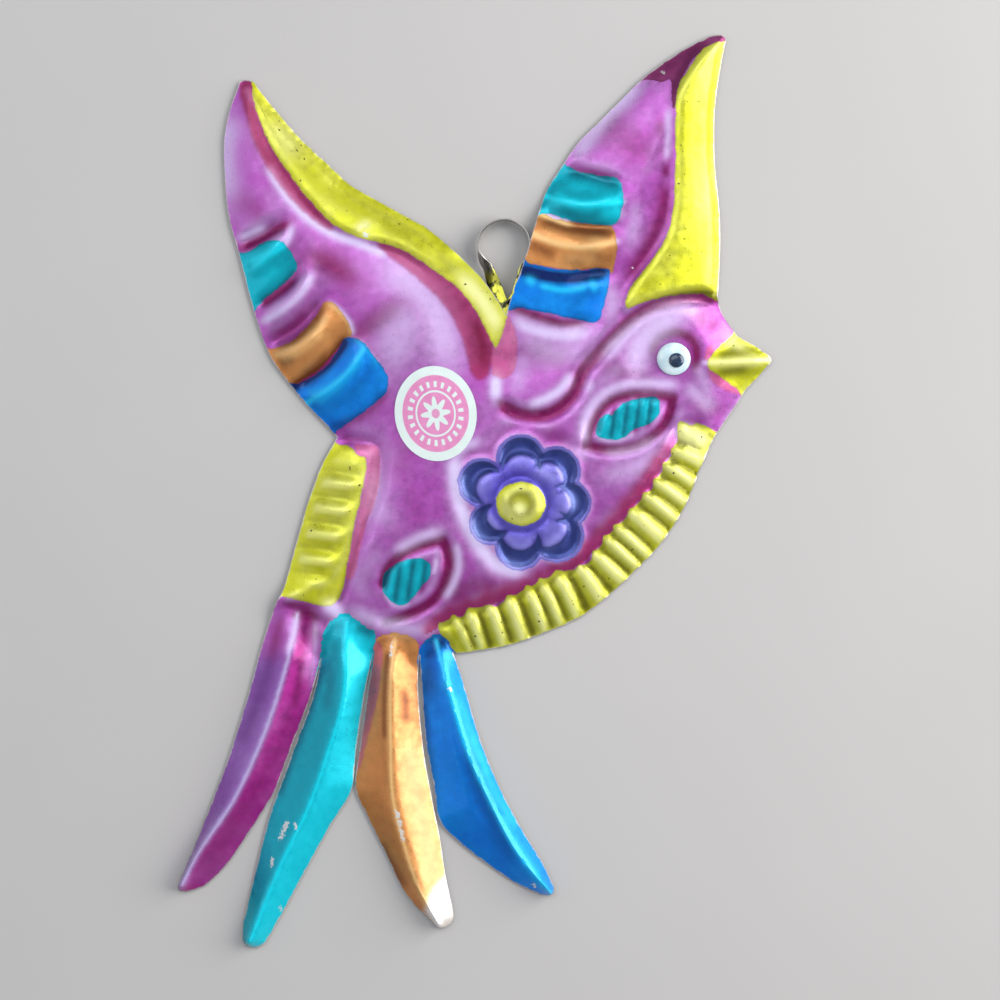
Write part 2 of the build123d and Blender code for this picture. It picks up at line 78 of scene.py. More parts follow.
# Tail feathers from the rump's side: right edge, tip, left edge, root and fold line
FEATHERS = [
    ([(310, 698), (293, 742), (284, 766), (274, 792), (255, 823), (228.5, 862), (206, 885)],
     [(190, 891), (178.5, 890), (178, 884)],
     [(194, 847), (202, 827), (225, 768), (247, 700), (262, 645), (277, 601)],
     [(299, 608), (321, 616)],
     [(298, 614), (289, 658), (268, 726), (236, 797), (202, 847), (182, 884)]),
    ([(364, 698), (356, 750), (351, 791), (330, 826), (307, 868), (283, 912), (265, 943)],
     [(258, 947), (249, 946.5), (242.5, 940), (243, 923)],
     [(257, 865), (270, 815), (283, 779), (296.5, 742), (312.5, 698), (321.5, 658)],
     [(324, 635), (333, 622), (346, 615), (360, 624), (375, 631)],
     [(347, 622), (344, 695), (330, 747), (309.5, 805), (281, 865), (250, 940)]),
    ([(418, 690), (423, 747), (431, 794), (439.5, 836), (445.5, 875.5), (453, 909.5)],
     [(453.5, 918), (450, 924), (440, 928), (430, 920)],
     [(406, 894), (385, 852), (367, 815), (355.5, 787), (359.5, 750), (367, 698), (373, 653)],
     [(375, 643), (383, 636), (401, 635), (414, 641), (419, 651)],
     [(395, 640), (391, 685), (391, 737), (393, 794), (404, 841.5), (419, 886), (440, 924)]),
    ([(464, 685), (479.5, 737), (498, 784), (521, 828), (542, 862), (554, 886)],
     [(554, 892), (549, 895.5), (540, 894)],
     [(516, 883), (485, 862), (456, 839), (439.5, 820), (434.5, 789), (426, 742), (422.5, 698), (419.5, 655)],
     [(421, 651), (425, 641), (437, 634), (448, 640), (453, 652)],
     [(436, 640), (440, 656), (451, 698), (466, 747), (487, 794), (516, 849), (551, 892)]),
]
TAIL_RUNS = [run for feather in FEATHERS[::-1] for run in feather[:3]]
ROOT_LINE = [(277, 601), (299, 610), (321.5, 620), (346, 614), (360, 622), (373, 634), (395, 632), (412, 638),
             (422, 645), (438, 634)]


def curved(points, closed=False, step=2.6):
    """A smooth line through given points, as a row of close points."""
    points = np.array(points, float)
    ends = (points[-1:], points[:2]) if closed else (points[:1], points[-1:])
    row = np.vstack([ends[0], points, ends[1]])
    line = []
    for a, b, c, d in zip(row, row[1:], row[2:], row[3:]):
        pieces = max(1, round(np.linalg.norm(c - b) / step))
        for t in np.arange(pieces) / pieces:
            line.append(0.5 * (2 * b + (c - a) * t + (2 * a - 5 * b + 4 * c - d) * t * t
                               + (3 * b - a - 3 * c + d) * t ** 3))
    if not closed:
        line.append(points[-1])
    return np.array(line)


def joined(runs):
    """The outline's runs as one smooth closed line with its sharp corners kept."""
    start = runs[-1][-1]
    line = []
    for run in runs:
        smooth_run = curved([start] + [point for point in run if point != start])
        line.extend(smooth_run[:-1])
        start = run[-1]
    return np.array(line)


def line_gap(at, line, closed=False):
    """Distance from each point to a line, how far along the line that is, and on which side."""
    if closed:
        line = np.vstack([line, line[:1]])
    best = np.full(len(at), np.inf)
    along = np.zeros(len(at))
    side = np.zeros(len(at))
    run = 0.0
    for a, b in zip(line, line[1:]):
        step = b - a
        length = np.hypot(*step)
        if length == 0:
            continue
        t = np.clip(((at - a) @ step) / length ** 2, 0, 1)
        off = at - a - t[:, None] * step
        gap = np.hypot(*off.T)
        near = gap < best
        best[near] = gap[near]
        along[near] = run + t[near] * length
        side[near] = np.sign(step[0] * off[near, 1] - step[1] * off[near, 0])
        run += length
    return best, along, side


def within(at, loop):
    """True for each point that lies inside a closed line."""
    hit = np.zeros(len(at), bool)
    for a, b in zip(loop, np.roll(loop, -1, axis=0)):
        if a[1] == b[1]:
            continue
        crosses = (a[1] > at[:, 1]) != (b[1] > at[:, 1])
        hit ^= crosses & (at[:, 0] < a[0] + (at[:, 1] - a[1]) * (b[0] - a[0]) / (b[1] - a[1]))
    return hit


def depth_in(at, loop, reach=14):
    """How far inside a closed line each point lies; less than nothing outside it."""
    near = np.all((at > loop.min(axis=0) - reach) & (at < loop.max(axis=0) + reach), axis=1)
    depth = np.full(len(at), -float(reach))
    gap = line_gap(at[near], loop, closed=True)[0]
    depth[near] = np.where(within(at[near], loop), gap, -gap)
    return depth


def eased(share):
    share = np.clip(share, 0, 1)
    return share * share * (3 - 2 * share)


def bell(gap, width):
    return np.exp(-((gap / width) ** 2))


def stroke(at, points, width):
    """1 on a brush stroke's middle line, fading away over its width and towards its ends."""
    line = curved(points, step=4)
    near = np.all((at > line.min(axis=0) - 3 * width) & (at < line.max(axis=0) + 3 * width), axis=1)
    gap, along, _ = line_gap(at[near], line)
    length = np.hypot(*np.diff(line, axis=0).T).sum()
    share = np.zeros(len(at))
    share[near] = bell(gap, width)
    if length > 3 * width:
        to_end = np.minimum(along, length - along)
        share[near] *= eased((to_end + width) / (width + min(2.2 * width, length / 2.5)))
    return share


def oval(at, centre, length, width, turn):
    """0 at an oval's centre and 1 on its rim."""
    turn = math.radians(turn)
    dx, dy = at[:, 0] - centre[0], centre[1] - at[:, 1]
    along = (dx * math.cos(turn) + dy * math.sin(turn)) * 2 / length
    across = (dy * math.cos(turn) - dx * math.sin(turn)) * 2 / width
    return np.hypot(along, across)


# The blank, as a net of small triangles whose edges follow the outline and the folds
outline = joined(BODY_RUNS + TAIL_RUNS + BACK_RUNS)
body_loop = joined(BODY_RUNS + [ROOT_LINE[::-1]] + BACK_RUNS)
feather_loops = []
for number, (right, tip, left, root, _) in enumerate(FEATHERS):
    slit_end = [feather[2][-1:] for feather in FEATHERS[number + 1:number + 2]]
    feather_loops.append(joined([root] + slit_end + [right, tip, left]))
ridges = [curved(feather[-1]) for feather in FEATHERS]
fold_lines = [ridge[2:-2] for ridge in ridges]
NET, RIM_ROW, RIM_ROW_KEPT = 2.7, 2.2, 2.0
(net_left, net_top), (net_right, net_foot) = outline.min(axis=0), outline.max(axis=0)
across, down = np.meshgrid(np.arange(net_left, net_right, NET),
                           np.arange(net_top, net_foot, NET * math.sqrt(3) / 2))
across[::2] += NET / 2
loose = np.column_stack([across.ravel(), down.ravel()])
ahead = np.roll(outline, -1, axis=0) - np.roll(outline, 1, axis=0)
inward = np.column_stack([-ahead[:, 1], ahead[:, 0]]) / np.hypot(*ahead.T)[:, None]
row = outline + RIM_ROW * inward
row = row[depth_in(row, outline) > RIM_ROW_KEPT]
loose = np.vstack([row, loose[depth_in(loose, outline) > RIM_ROW + NET * 0.6]])
for fold_line in fold_lines:
    loose = loose[line_gap(loose, fold_line)[0] > NET * 0.55]
points = [tuple(point) for point in outline]
edges = [(i, (i + 1) % len(outline)) for i in range(len(outline))]
for fold_line in fold_lines:
    first = len(points)
    points += [tuple(point) for point in fold_line]
    edges += [(first + i, first + i + 1) for i in range(len(fold_line) - 1)]
points += [tuple(point) for point in loose]
net = delaunay_2d_cdt([Vector(point) for point in points], edges, [], 1, 1e-5)
at = np.array([tuple(point) for point in net[0]])
faces = [tuple(face)[::-1] for face in net[2]]
net_edges = np.array([tuple(edge) for edge in net[1]])


def evened(values, rounds):
    """Values on the net, each averaged with its neighbours some number of times."""
    count = np.bincount(net_edges.ravel(), minlength=len(at))
    for _ in range(rounds):
        total = np.bincount(net_edges[:, 0], values[net_edges[:, 1]], len(at))
        total += np.bincount(net_edges[:, 1], values[net_edges[:, 0]], len(at))
        values = (values + total / np.maximum(count, 1)) / 2
    return values


# Stamped forms: a crowned body, raised strips, plumes, grooves, ribs and folded feathers.
# Rises, depths, widths and walls are in mm; places, reaches and the rest are in photo pixels.
CROWN, CROWN_RUN, CROWN_WALL = 3.4, 6.0, 1.8
BROW, BROW_DIP, BROW_WIDTH = (714, 318), 0.5, 7.5
CREST_RISE, CREST_WIDTH, VALLEY_DEPTH, VALLEY_WIDTH = 1.0, 1.6, 0.9, 1.2
STRIP_RISE, STRIP_WALL = 0.9, 1.1
NECK_DEPTH, RING_DEPTH = 0.55, 0.5
HEM_DEPTH, RUMP_DEPTH, SEAM_WIDTH = 0.6, 0.5, 1.1
BEAK_RISE, BEAK_WIDTH = 1.1, 1.4
DENT, DENT_DEPTH = (366, 232), 0.45
LEAF_RIB_DEPTH, LEAF_RIB_WIDTH = 0.28, 0.32
PILLOW_RISE, HEAD_RISE = 0.7, 0.5
PETAL_RISE, CRESCENT_DEPTH, LIP_RISE, SKIRT_DEPTH, MOAT_DEPTH, BOSS_RISE = 0.45, 0.6, 0.14, 0.2, 0.3, 1.0
HEM_RIBS, HEM_RIB_RISE, RUMP_RIBS, RUMP_RIB_RISE = 18, 0.36, 5.5, 0.3
FOLD_RISE, FOLD_ROUND, ROOT_RISE, ROOT_WIDTH = 2.9, 0.16, 0.9, 3.2
PLUME_CRESTS = [
    [(244, 273), (255, 267), (271, 255), (290, 232)],
    [(268, 319), (295, 300), (307, 284), (314, 270)],
    [(275, 361), (287, 356), (305, 347), (328, 325)],
    [(306, 404), (328, 393), (345, 380), (357, 364), (365, 347)],
    [(544, 194), (583, 206), (622, 200)],
    [(531, 232), (557, 245), (583, 249), (612, 244)],
    [(525.5, 284), (557, 292), (593.5, 285)],
]
PLUME_VALLEYS = [
    [(237, 245), (260, 236), (283, 224)],
    [(254, 308), (283, 288), (300, 268)],
    [(268, 345), (300, 326), (322, 300)],
    [(293, 387), (317, 373), (336, 351), (346, 336)],
    [(562, 168), (588, 176), (621, 186)],
    [(537, 215), (567, 225), (615, 229)],
    [(518, 268), (546, 277), (583, 275), (608, 274)],
    [(511, 309), (535, 315), (560, 321), (593, 325)],
]
LEFT_STRIP = BODY_RUNS[0][1:] + LEFT_WING_TOP + [
    (497, 347), (490, 339), (477, 313), (461, 292), (445.5, 279), (424.6, 264.5), (401, 250), (380, 243.6),
    (357, 238), (333, 225), (308, 199), (293, 179), (268, 140.5), (254, 100),
]
RIGHT_STRIP = [(723, 43.5)] + RIGHT_WING_RIGHT + [
    (701, 294), (675, 296), (646, 302), (626, 310), (626, 297), (635, 281.5), (651, 261), (667, 234), (673, 203),
    (674.6, 166), (674.6, 125), (677, 91), (688, 70), (703, 50),
]
NECK_GROOVE = [(716, 297), (690, 297.5), (665, 303), (648, 310), (630, 322), (612, 339.5), (595, 357), (583, 371),
               (577.5, 384), (571, 397), (557, 410), (540, 416), (519, 414), (505, 407.5), (499, 403.5)]
HEM_INNER = [(697, 426), (684, 422), (677, 430), (675, 443), (667, 459), (659, 472), (650, 488), (640, 498),
             (628, 513), (605, 536), (590, 558), (579, 567), (561, 570), (549, 575), (526, 587), (503, 600),
             (495, 606), (482, 605), (470, 608), (460, 616), (452, 616), (439, 626)]
HEM_LINE = [(696, 424), (679, 428), (672, 452), (655, 480), (634, 507), (608, 536), (582, 563), (551, 580),
            (520, 594), (488, 606), (460, 616), (438, 628)]
RUMP_RIGHT = [(346, 440), (378, 446), (379, 480), (371, 510), (359, 545), (349, 575), (340, 600)]
BEAK_RIDGE = [(706, 363.6), (738, 361.5), (768, 360)]
LEAF_RINGS = [
    [(586, 446), (592, 423), (607, 404), (628, 395.5), (650, 394.5), (672, 398)],
    [(672, 398), (668, 416), (657, 432), (636, 446), (610, 450), (586, 446)],
    [(383, 584), (390, 566), (411, 550), (443, 540)],
    [(443, 540), (449, 557), (447, 577), (438, 595), (420, 609), (386, 623)],
]
LEAVES = [((629, 419), 74, 34, 24), ((407, 582), 60, 36, 38)]
LEAF_RIBS = [[-3.2, -1.75, -0.45, 0.8, 2.1], [-2.4, -1.0, 0.4, 1.8]]
FLOWER = np.array([521, 503.5])
# Each petal's angle, the reach of its lobe's middle and the lobe's radius
PETALS = [(90, 44, 25), (152, 44, 24.5), (213, 36, 22), (268, 42, 25), (318, 48, 27), (0, 46, 24), (43, 47, 25)]
PILLOW, HEAD = ((428, 308), 130, 96, -50), ((658, 352), 120, 120, 0)
EYE = (673, 359.5)
# Seats for the hanging loop and the eye: centre, height over the table, flat reach and fall in mm
SEATS = [((507, 292), 2.6, 8.6, 9.0), (EYE, 2.5, 3.6, 7.0)]

rim_gap = line_gap(at, outline, closed=True)[0] * PX
in_body = within(at, body_loop)
body_edge = line_gap(at, body_loop, closed=True)[0] * PX
crown = CROWN * (1 - np.exp(-body_edge / CROWN_RUN))
crown *= 1 - BROW_DIP * bell(np.hypot(*(at - BROW).T) * PX, BROW_WIDTH)
fade = eased(body_edge / CROWN_WALL)
detail = np.zeros(len(at))
for crest in PLUME_CRESTS:
    detail += CREST_RISE * stroke(at, crest, CREST_WIDTH / PX)
for valley in PLUME_VALLEYS:
    detail -= VALLEY_DEPTH * stroke(at, valley, VALLEY_WIDTH / PX)
strips = [curved(loop, closed=True) for loop in (LEFT_STRIP, RIGHT_STRIP)]
for strip in strips:
    detail += STRIP_RISE * eased((depth_in(at, strip) * PX / STRIP_WALL + 1) / 2)
neck_gap, neck_along, _ = line_gap(at, curved(NECK_GROOVE))
neck_end = eased((neck_along.max() - neck_along) / 14 + 0.1)
detail -= NECK_DEPTH * eased((12 - neck_gap) / 9) * neck_end
hem_gap, hem_along, hem_side = line_gap(at, curved(HEM_LINE))
rump_gap = line_gap(at, curved(RUMP_RIGHT))[0]
detail -= HEM_DEPTH * bell(hem_gap * PX, SEAM_WIDTH) + RUMP_DEPTH * bell(rump_gap * PX, SEAM_WIDTH)
detail += BEAK_RISE * bell(line_gap(at, curved(BEAK_RIDGE))[0] * PX, BEAK_WIDTH)
ring_gap = np.min([line_gap(at, curved(ring))[0] for ring in LEAF_RINGS], axis=0)
detail -= RING_DEPTH * eased((10 - ring_gap) / 8)
detail -= DENT_DEPTH * bell(np.hypot(*(at - DENT).T), 7)
leaf_valley = np.zeros(len(at))
for leaf, ribs in zip(LEAVES, LEAF_RIBS):
    share = oval(at, *leaf)
    for rib in ribs:
        lean = (at[:, 0] - leaf[0][0]) / 9 + (at[:, 1] - leaf[0][1]) / 60 - rib
        leaf_valley = np.maximum(leaf_valley, bell(lean, LEAF_RIB_WIDTH) * eased(4 * (1.1 - share)))
detail -= LEAF_RIB_DEPTH * leaf_valley
detail += PILLOW_RISE * bell(oval(at, *PILLOW), 1) + HEAD_RISE * bell(oval(at, *HEAD), 1)
bloom = at - FLOWER
bloom_reach = np.hypot(*bloom.T)
crescent = np.full(len(at), -9.0)
bloom_depth = 30 - bloom_reach
for turn, reach, radius in PETALS:
    outward = np.array([math.cos(math.radians(turn)), -math.sin(math.radians(turn))])
    from_lobe = np.hypot(*(bloom - reach * outward).T)
    from_inner = np.hypot(*(bloom - (reach - 13) * outward).T)
    crescent = np.maximum(crescent, np.minimum(radius - 3.2 - from_lobe, from_inner - (radius - 7.5)))
    bloom_depth = np.maximum(bloom_depth, radius - from_lobe)
    detail += PETAL_RISE * bell(np.hypot(*(bloom - (reach - 9) * outward).T), 15)
detail -= CRESCENT_DEPTH * eased((crescent + 2) / 6)
detail += LIP_RISE * bell(bloom_depth - 3, 4)
detail -= SKIRT_DEPTH * bell(bloom_depth + 6, 6)
detail -= MOAT_DEPTH * bell(bloom_reach - 27, 4)
detail += BOSS_RISE * eased(1.7 - bloom_reach / 17)
hem_length = hem_along.max()
hem_band = eased((3 - hem_side * hem_gap) / 7) * eased(rim_gap / 0.35 + 0.3) * in_body
hem_band *= eased(14 * hem_along / hem_length) * eased(14 - 14 * hem_along / hem_length)
hem_turn = 2 * math.pi * HEM_RIBS * hem_along / hem_length
hem_turn += 0.7 * np.sin(0.23 * hem_turn + 1) + 0.4 * np.sin(0.41 * hem_turn)
hem_rib = np.cos(hem_turn + 0.5 * np.sin(hem_turn))
rump_top, rump_foot = np.array([(346, 452), (303, 592)], float)
rump_step = rump_foot - rump_top
rump_size = np.hypot(*rump_step)
rump_along = ((at - rump_top) @ rump_step) / rump_size ** 2
rump_across = ((at - rump_top) @ np.array([rump_step[1], -rump_step[0]])) / rump_size
rump_band = eased(2 - 2 * np.abs(rump_across) / 27) * eased(5 * rump_along) * eased(5 - 5 * rump_along)
rump_rib = np.sin(2 * math.pi * RUMP_RIBS * rump_along + 0.04 * rump_across)
body_height = crown + detail * fade + HEM_RIB_RISE * hem_rib * hem_band
body_height += RUMP_RIB_RISE * rump_rib * rump_band * fade

feather_height = np.zeros(len(at))
in_feather = np.zeros(len(at), int)
facet = np.zeros(len(at))
ridge_gap = np.full(len(at), 99.0)
ridge_side = np.zeros(len(at))
fold_reach = math.hypot(1, FOLD_ROUND)
root_gap = line_gap(at, curved(ROOT_LINE))[0]
rise = eased(0.1 + 0.9 * root_gap / 46)
for number, (loop, ridge) in enumerate(zip(feather_loops, ridges), 1):
    hold = (depth_in(at, loop) > -1.2) & ~in_body
    gap, _, side = line_gap(at, ridge)
    share = rim_gap / np.maximum(rim_gap + gap * PX, 1e-6)
    fold = (fold_reach - np.hypot(1 - share, FOLD_ROUND)) / (fold_reach - FOLD_ROUND)
    feather_height[hold] = FOLD_RISE * (fold * rise)[hold]
    in_feather[hold] = number
    facet[hold] = side[hold] * eased(gap[hold] / 3)
    ridge_gap[hold] = gap[hold] * PX
    ridge_side[hold] = side[hold] * gap[hold] * PX
height = np.where(in_body, body_height, feather_height)
height += ROOT_RISE * bell(root_gap * PX, ROOT_WIDTH)
for seat, seat_height, flat, fall in SEATS:
    away = np.hypot(*(at - seat).T) * PX
    blend = eased(1 - (away - flat) / fall)
    height = seat_height * blend + height * (1 - blend)
height = np.where(in_feather > 0, height, evened(height, 2))
(left, _, low), (right, _, top) = np.array(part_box("bird_sheet")) / MM
low, top = low + 0.02, top - SHEET - 0.02
height = low + np.maximum(height, 0) * min(1, (top - low) / height.max())
# How far each point lies below the smoothed relief around it; used further on for painted shade in hollows and
# painted highlight on crests
hollow = evened(evened(height, 6) - height, 2) * eased(rim_gap / 1.5)
on_strip = np.max([depth_in(at, strip) for strip in strips], axis=0) > 0
hollow *= np.where((in_feather > 0) | on_strip, 0.3, 1.0)

verts = np.column_stack([(at[:, 0] - MIDDLE_X_PX) * PX, (MIDDLE_Y_PX - at[:, 1]) * PX, height + SHEET]) * MM
verts[:, 0] = np.clip(verts[:, 0], (left + 0.005) * MM, (right - 0.005) * MM)


def laid_out(name, verts, faces):
    """A new object from points and faces, picked out alone."""
    mesh = bpy.data.meshes.new(name)
    mesh.from_pydata(verts, [], faces)
    mesh.update()
    piece = bpy.data.objects.new(name, mesh)
    bpy.context.collection.objects.link(piece)
    bpy.ops.object.select_all(action="DESELECT")
    bpy.context.view_layer.objects.active = piece
    piece.select_set(True)
    return piece


sheet = laid_out("stamped_sheet", verts.tolist(), faces)

# Lacquer: where each colour was brushed on, where it ran thick and dark together with painted shade, and where it is
# thin together with painted highlights
PAINTS = {
    "crimson": [
        [(241, 82), (254, 82), (256, 102), (270, 140), (295, 178), (310, 198), (334, 226), (330, 231), (317, 223),
         (300, 209), (282, 189), (265, 164), (253, 138), (245, 110), (240, 94)],
        [(378, 243), (402, 248), (426, 263), (448, 278), (463, 291), (479, 312), (492, 338), (493, 350), (489, 374),
         (479, 381), (471, 373), (466, 353), (458, 330), (445, 307), (428, 289), (408, 271), (388, 256)],
    ],
    "blush": [
        [(500, 320), (508, 317), (516, 334), (517, 358), (512, 374), (501, 379), (492, 373), (492, 352), (497, 340)],
        [(355, 445), (370, 445), (379, 449), (380, 478), (375, 503), (368, 520), (361, 547), (354, 576), (346, 577),
         (350, 552), (355, 525), (363, 490), (367, 461), (357, 455)],
        [(372, 646), (380, 643), (383, 655), (380, 685), (374, 715), (366, 745), (359, 770), (352, 760), (360, 705)],
        [(704, 361), (706, 349), (716, 341), (724, 343), (716, 351), (711, 360)],
        [(707, 369), (722, 378), (735, 386), (744, 391), (741, 395), (724, 390), (712, 382)],
    ],
    "maroon": [
        [(728, 32), (700, 36), (672, 54), (642, 77), (648, 79.5), (662, 83), (670, 79), (671, 92), (672, 110),
         (676, 104), (679, 88), (686, 71), (695, 58), (706, 51), (722, 47)],
    ],
    "yellow": [
        [(332, 446), (352, 447), (357, 455), (367, 460), (363, 490), (355, 525), (350, 552), (346, 575), (340, 597),
         (327, 606), (300, 600), (280, 592), (286, 565), (304, 503), (317, 467)],
        [(706, 366), (716, 350), (737, 334), (755, 343), (775, 360), (758, 380), (745, 394), (735, 388), (722, 379)],
    ],
    "teal": [
        [(238, 257), (252, 251), (262, 244), (272, 241), (283, 243), (292, 253), (297, 264), (298, 270), (290, 279),
         (280, 288), (268, 297), (250, 310), (240, 285)],
        [(560, 166), (580, 172), (600, 176), (615, 179), (621, 184), (623, 200), (621, 213), (618, 222), (612, 226),
         (600, 225.5), (580, 224), (570, 221), (550, 214.5), (535, 211), (545, 190)],
        [(595, 433.6), (598, 422), (606.7, 414), (611, 416), (615.5, 410), (624, 402.8), (647.7, 397), (656.5, 398),
         (659.5, 404), (658, 414.5), (650.7, 423), (633, 430.7), (621, 439), (606.7, 439.5), (596.4, 436)],
        [(383, 590), (383, 577), (390.6, 567), (406, 559.4), (421, 558), (430, 563), (431, 574.7), (421, 587.4),
         (411, 600), (400.8, 605), (390.6, 600)],
    ],
    "copper": [
        [(268, 352), (290, 343), (305, 330), (317, 316), (325, 303), (334, 304), (343, 313), (350, 325), (352, 337),
         (343, 342), (335, 353), (325, 364), (315, 373), (303, 380), (290, 390), (276, 372)],
        [(533, 212), (555, 219), (575, 223), (600, 225.5), (612, 229), (616.5, 245), (616, 255), (613, 268),
         (611, 274.5), (597, 270), (575, 272), (560, 270.5), (545, 268), (518, 267), (526, 240)],
    ],
    "blue": [
        [(345, 339), (356, 339), (365, 344), (375, 357), (386, 372), (389, 381), (386, 393), (373, 406), (355, 419),
         (338, 430), (326, 432), (300, 405), (288, 388), (305, 381), (325, 368), (340, 348)],
        [(515, 264), (530, 265), (545, 267.5), (560, 270), (580, 271), (598, 269), (609, 272), (608, 287),
         (605, 300), (600, 318), (593, 323.5), (580, 321), (565, 318), (550, 314.5), (535, 312), (520, 309),
         (508, 307)],
    ],
}
HEM_OUTER = [(714, 434), (708, 470), (690, 510), (668, 547), (642, 574), (612, 601), (582, 622), (543, 640),
             (505, 652), (458, 660), (445, 640)]
boss = []
for turn in np.radians(range(0, 360, 15)):
    boss.append(FLOWER + (23.5 + 1.5 * math.cos(2 * turn)) * np.array([math.cos(turn), -math.sin(turn)]))
paint_loops = {name: [curved(loop, True) for loop in loops] for name, loops in PAINTS.items()}
paint_loops["yellow"] += strips + [np.array(boss)]
for name, loop in zip(("teal", "copper", "blue"), feather_loops[1:]):
    paint_loops[name].append(loop)
# The third feather's tip, whitened
paint_loops["white_tip"] = [np.array([(424, 912), (434, 888), (446, 876), (458, 905), (458, 930), (436, 932)])]
paint = {}
for name, loops in paint_loops.items():
    paint[name] = np.max([depth_in(at, loop) * PX for loop in loops], axis=0)
hem_depth = depth_in(at, curved(HEM_INNER[1:] + HEM_OUTER[::-1], True)) * PX + 0.3 * hem_rib
paint["yellow"] = np.maximum(paint["yellow"], hem_depth)
paint["violet"] = bloom_depth * PX
paint["navy"] = crescent * PX
for number, name in ((2, "teal"), (3, "copper"), (4, "blue")):
    paint[name] = np.where(in_feather == number, 1.0, paint[name])
for name in ("teal", "copper", "blue", "yellow"):
    paint[name] = np.where(in_feather == 1, -1.0, paint[name])
paint["white_tip"] = np.where(in_feather == 3, paint["white_tip"], -1.0)
past_rim = 0.5 * (1 - eased(rim_gap / 0.6))
for name in ("yellow", "teal", "copper", "blue", "maroon"):
    paint[name] += past_rim
pale_strip = depth_in(at, np.array([(312, 610), (324, 612), (322, 660), (316, 690), (309, 690), (314, 650)])) * PX
paint["magenta"] = np.where(in_feather == 1, np.minimum(-ridge_side - 0.5, -pale_strip), -1.0)
paint["plum"] = np.where(in_feather == 1, np.minimum(ridge_side + 0.2, (at[:, 1] - 655) * PX / 4), -1.0)

# Painted highlights, together with where the brush left the lacquer thin and pale: width, strength, then each
# point's x and y
THIN_LACQUER_AND_HIGHLIGHTS = [
    (4.5, 1.0, 268, 166, 282, 190, 298, 209, 312, 222, 336, 236, 361, 245, 390, 258),
    (3.5, 0.85, 294, 226, 290, 238, 284, 250), (4, 0.8, 237, 239, 250, 234, 268, 226),
    (11, 0.6, 230, 112, 227, 160, 232, 205), (2.5, 0.7, 243, 274, 262, 262, 283, 250),
    (10, 0.35, 256, 284, 282, 268), (4, 0.9, 260, 323, 280, 313, 296, 301, 307, 288, 314, 274),
    (2.5, 0.7, 273, 357, 300, 345, 322, 326, 329, 316), (2.5, 0.9, 329, 303, 341, 312, 351, 325, 353, 337),
    (2.6, 1.0, 302, 406, 332, 387, 352, 369, 366, 346), (2.5, 0.6, 356, 340, 368, 350, 380, 366),
    (20, 0.6, 375, 256, 412, 284, 438, 316, 448, 360, 440, 380), (22, 0.5, 420, 300, 395, 345, 392, 375),
    (8, 0.95, 458, 274, 478, 296, 493, 318, 498, 335), (12, 0.35, 268, 120, 300, 160), (4, 1.0, 360, 229, 366, 226),
    (6, 1.2, 496, 374, 495.5, 402), (9, 0.7, 643, 82, 602, 122, 572, 162), (12, 0.3, 606, 112, 588, 140, 580, 160),
    (3, 0.7, 668, 111, 667, 149, 665, 161), (3, 0.8, 243, 266, 262, 257, 288, 246), (5, 0.35, 703, 42, 720, 39),
    (7, 0.35, 634, 200, 634, 225, 628, 250), (8, 0.5, 602, 284, 612, 300, 606, 325),
    (8, 0.85, 511, 316, 525, 327, 548, 334, 570, 336, 592, 330), (9, 0.3, 525, 345, 520, 375, 512, 398),
    (2.2, 1.3, 540, 194, 563, 202.5, 586, 206, 626, 203), (7, 0.5, 605, 214, 619, 214),
    (3, 1.3, 533, 212, 552, 218, 572, 225), (2.6, 1.1, 524, 230, 548, 241.5, 568.5, 247.3, 589, 248.2, 620, 242),
    (7, 0.3, 560, 262, 600, 258), (4, 0.9, 529, 281, 532, 283), (2.8, 1.0, 538, 286, 563, 291, 588, 288),
    (4, 0.8, 592, 285, 594, 289), (5, 0.95, 571, 372, 562, 388, 545, 400, 526, 406),
    (9, 0.65, 700, 309, 665, 315, 640, 327, 618, 345, 603, 364), (9, 0.45, 645, 384, 668, 384),
    (5, 0.6, 588, 395, 592, 380), (7, 0.4, 700, 372, 706, 392),
    (8.5, 1.0, 457, 450, 455, 475, 460, 503, 468, 525, 482, 549, 500, 566, 530, 574),
    (5, 0.7, 452, 462, 464, 448, 482, 440), (8, 0.45, 566, 448, 590, 458),
    (6, 0.75, 583, 446, 585, 419, 601, 396, 625, 385, 652, 384, 680, 386), (6, 0.7, 392, 552, 421, 537, 446, 530),
    (8, 0.4, 600, 456, 632, 452, 660, 438), (4, 0.8, 456, 541, 459, 565, 453, 585, 444, 600),
    (2.5, 0.9, 436, 556, 436, 566, 432, 576), (2, 0.8, 596, 438, 607, 441, 622, 440, 634, 433),
    (2, 0.7, 384, 592, 391, 602, 401, 607, 412, 602), (8, 1.0, 330, 606, 338, 612),
    (9, 0.6, 345, 608, 380, 622, 420, 630, 440, 618), (10, 0.3, 375, 600, 360, 580, 385, 545),
    (4, 0.8, 298, 614, 294, 636, 288, 655), (5, 0.5, 316, 620, 312, 650, 306, 680),
    (13, 0.65, 410, 735, 416, 790, 426, 840, 438, 900), (9, 1.0, 437, 885, 442, 905, 441, 920),
    (7, 0.75, 455, 690, 466, 722, 478, 752, 494, 788, 520, 832), (4.5, 1.0, 470, 730, 480, 754, 490, 780),
    (3, 0.8, 500, 812, 520, 846, 542, 880), (9, 1.0, 684, 432, 700, 440), (5, 0.5, 752, 388, 738, 408, 722, 428),
    (15, 0.75, 694, 314, 668, 320, 640, 345, 634, 384), (13, 0.45, 596, 474, 640, 466, 672, 440),
    (12, 0.3, 628, 362, 604, 382), (16, 0.4, 508, 326, 556, 352, 598, 342), (16, 0.4, 382, 462, 376, 500, 396, 530),
    (9, 0.5, 692, 392, 706, 404), (6, 1.0, 519, 508, 520, 509), (2.4, 1.1, 700, 363.5, 738, 361.5, 780, 360),
    (5, 0.6, 730, 344, 745, 348), (6, 0.6, 560, 512, 572, 505, 566, 490), (6, 0.5, 553, 478, 540, 470),
    (5, 0.5, 558, 536, 548, 545),
]
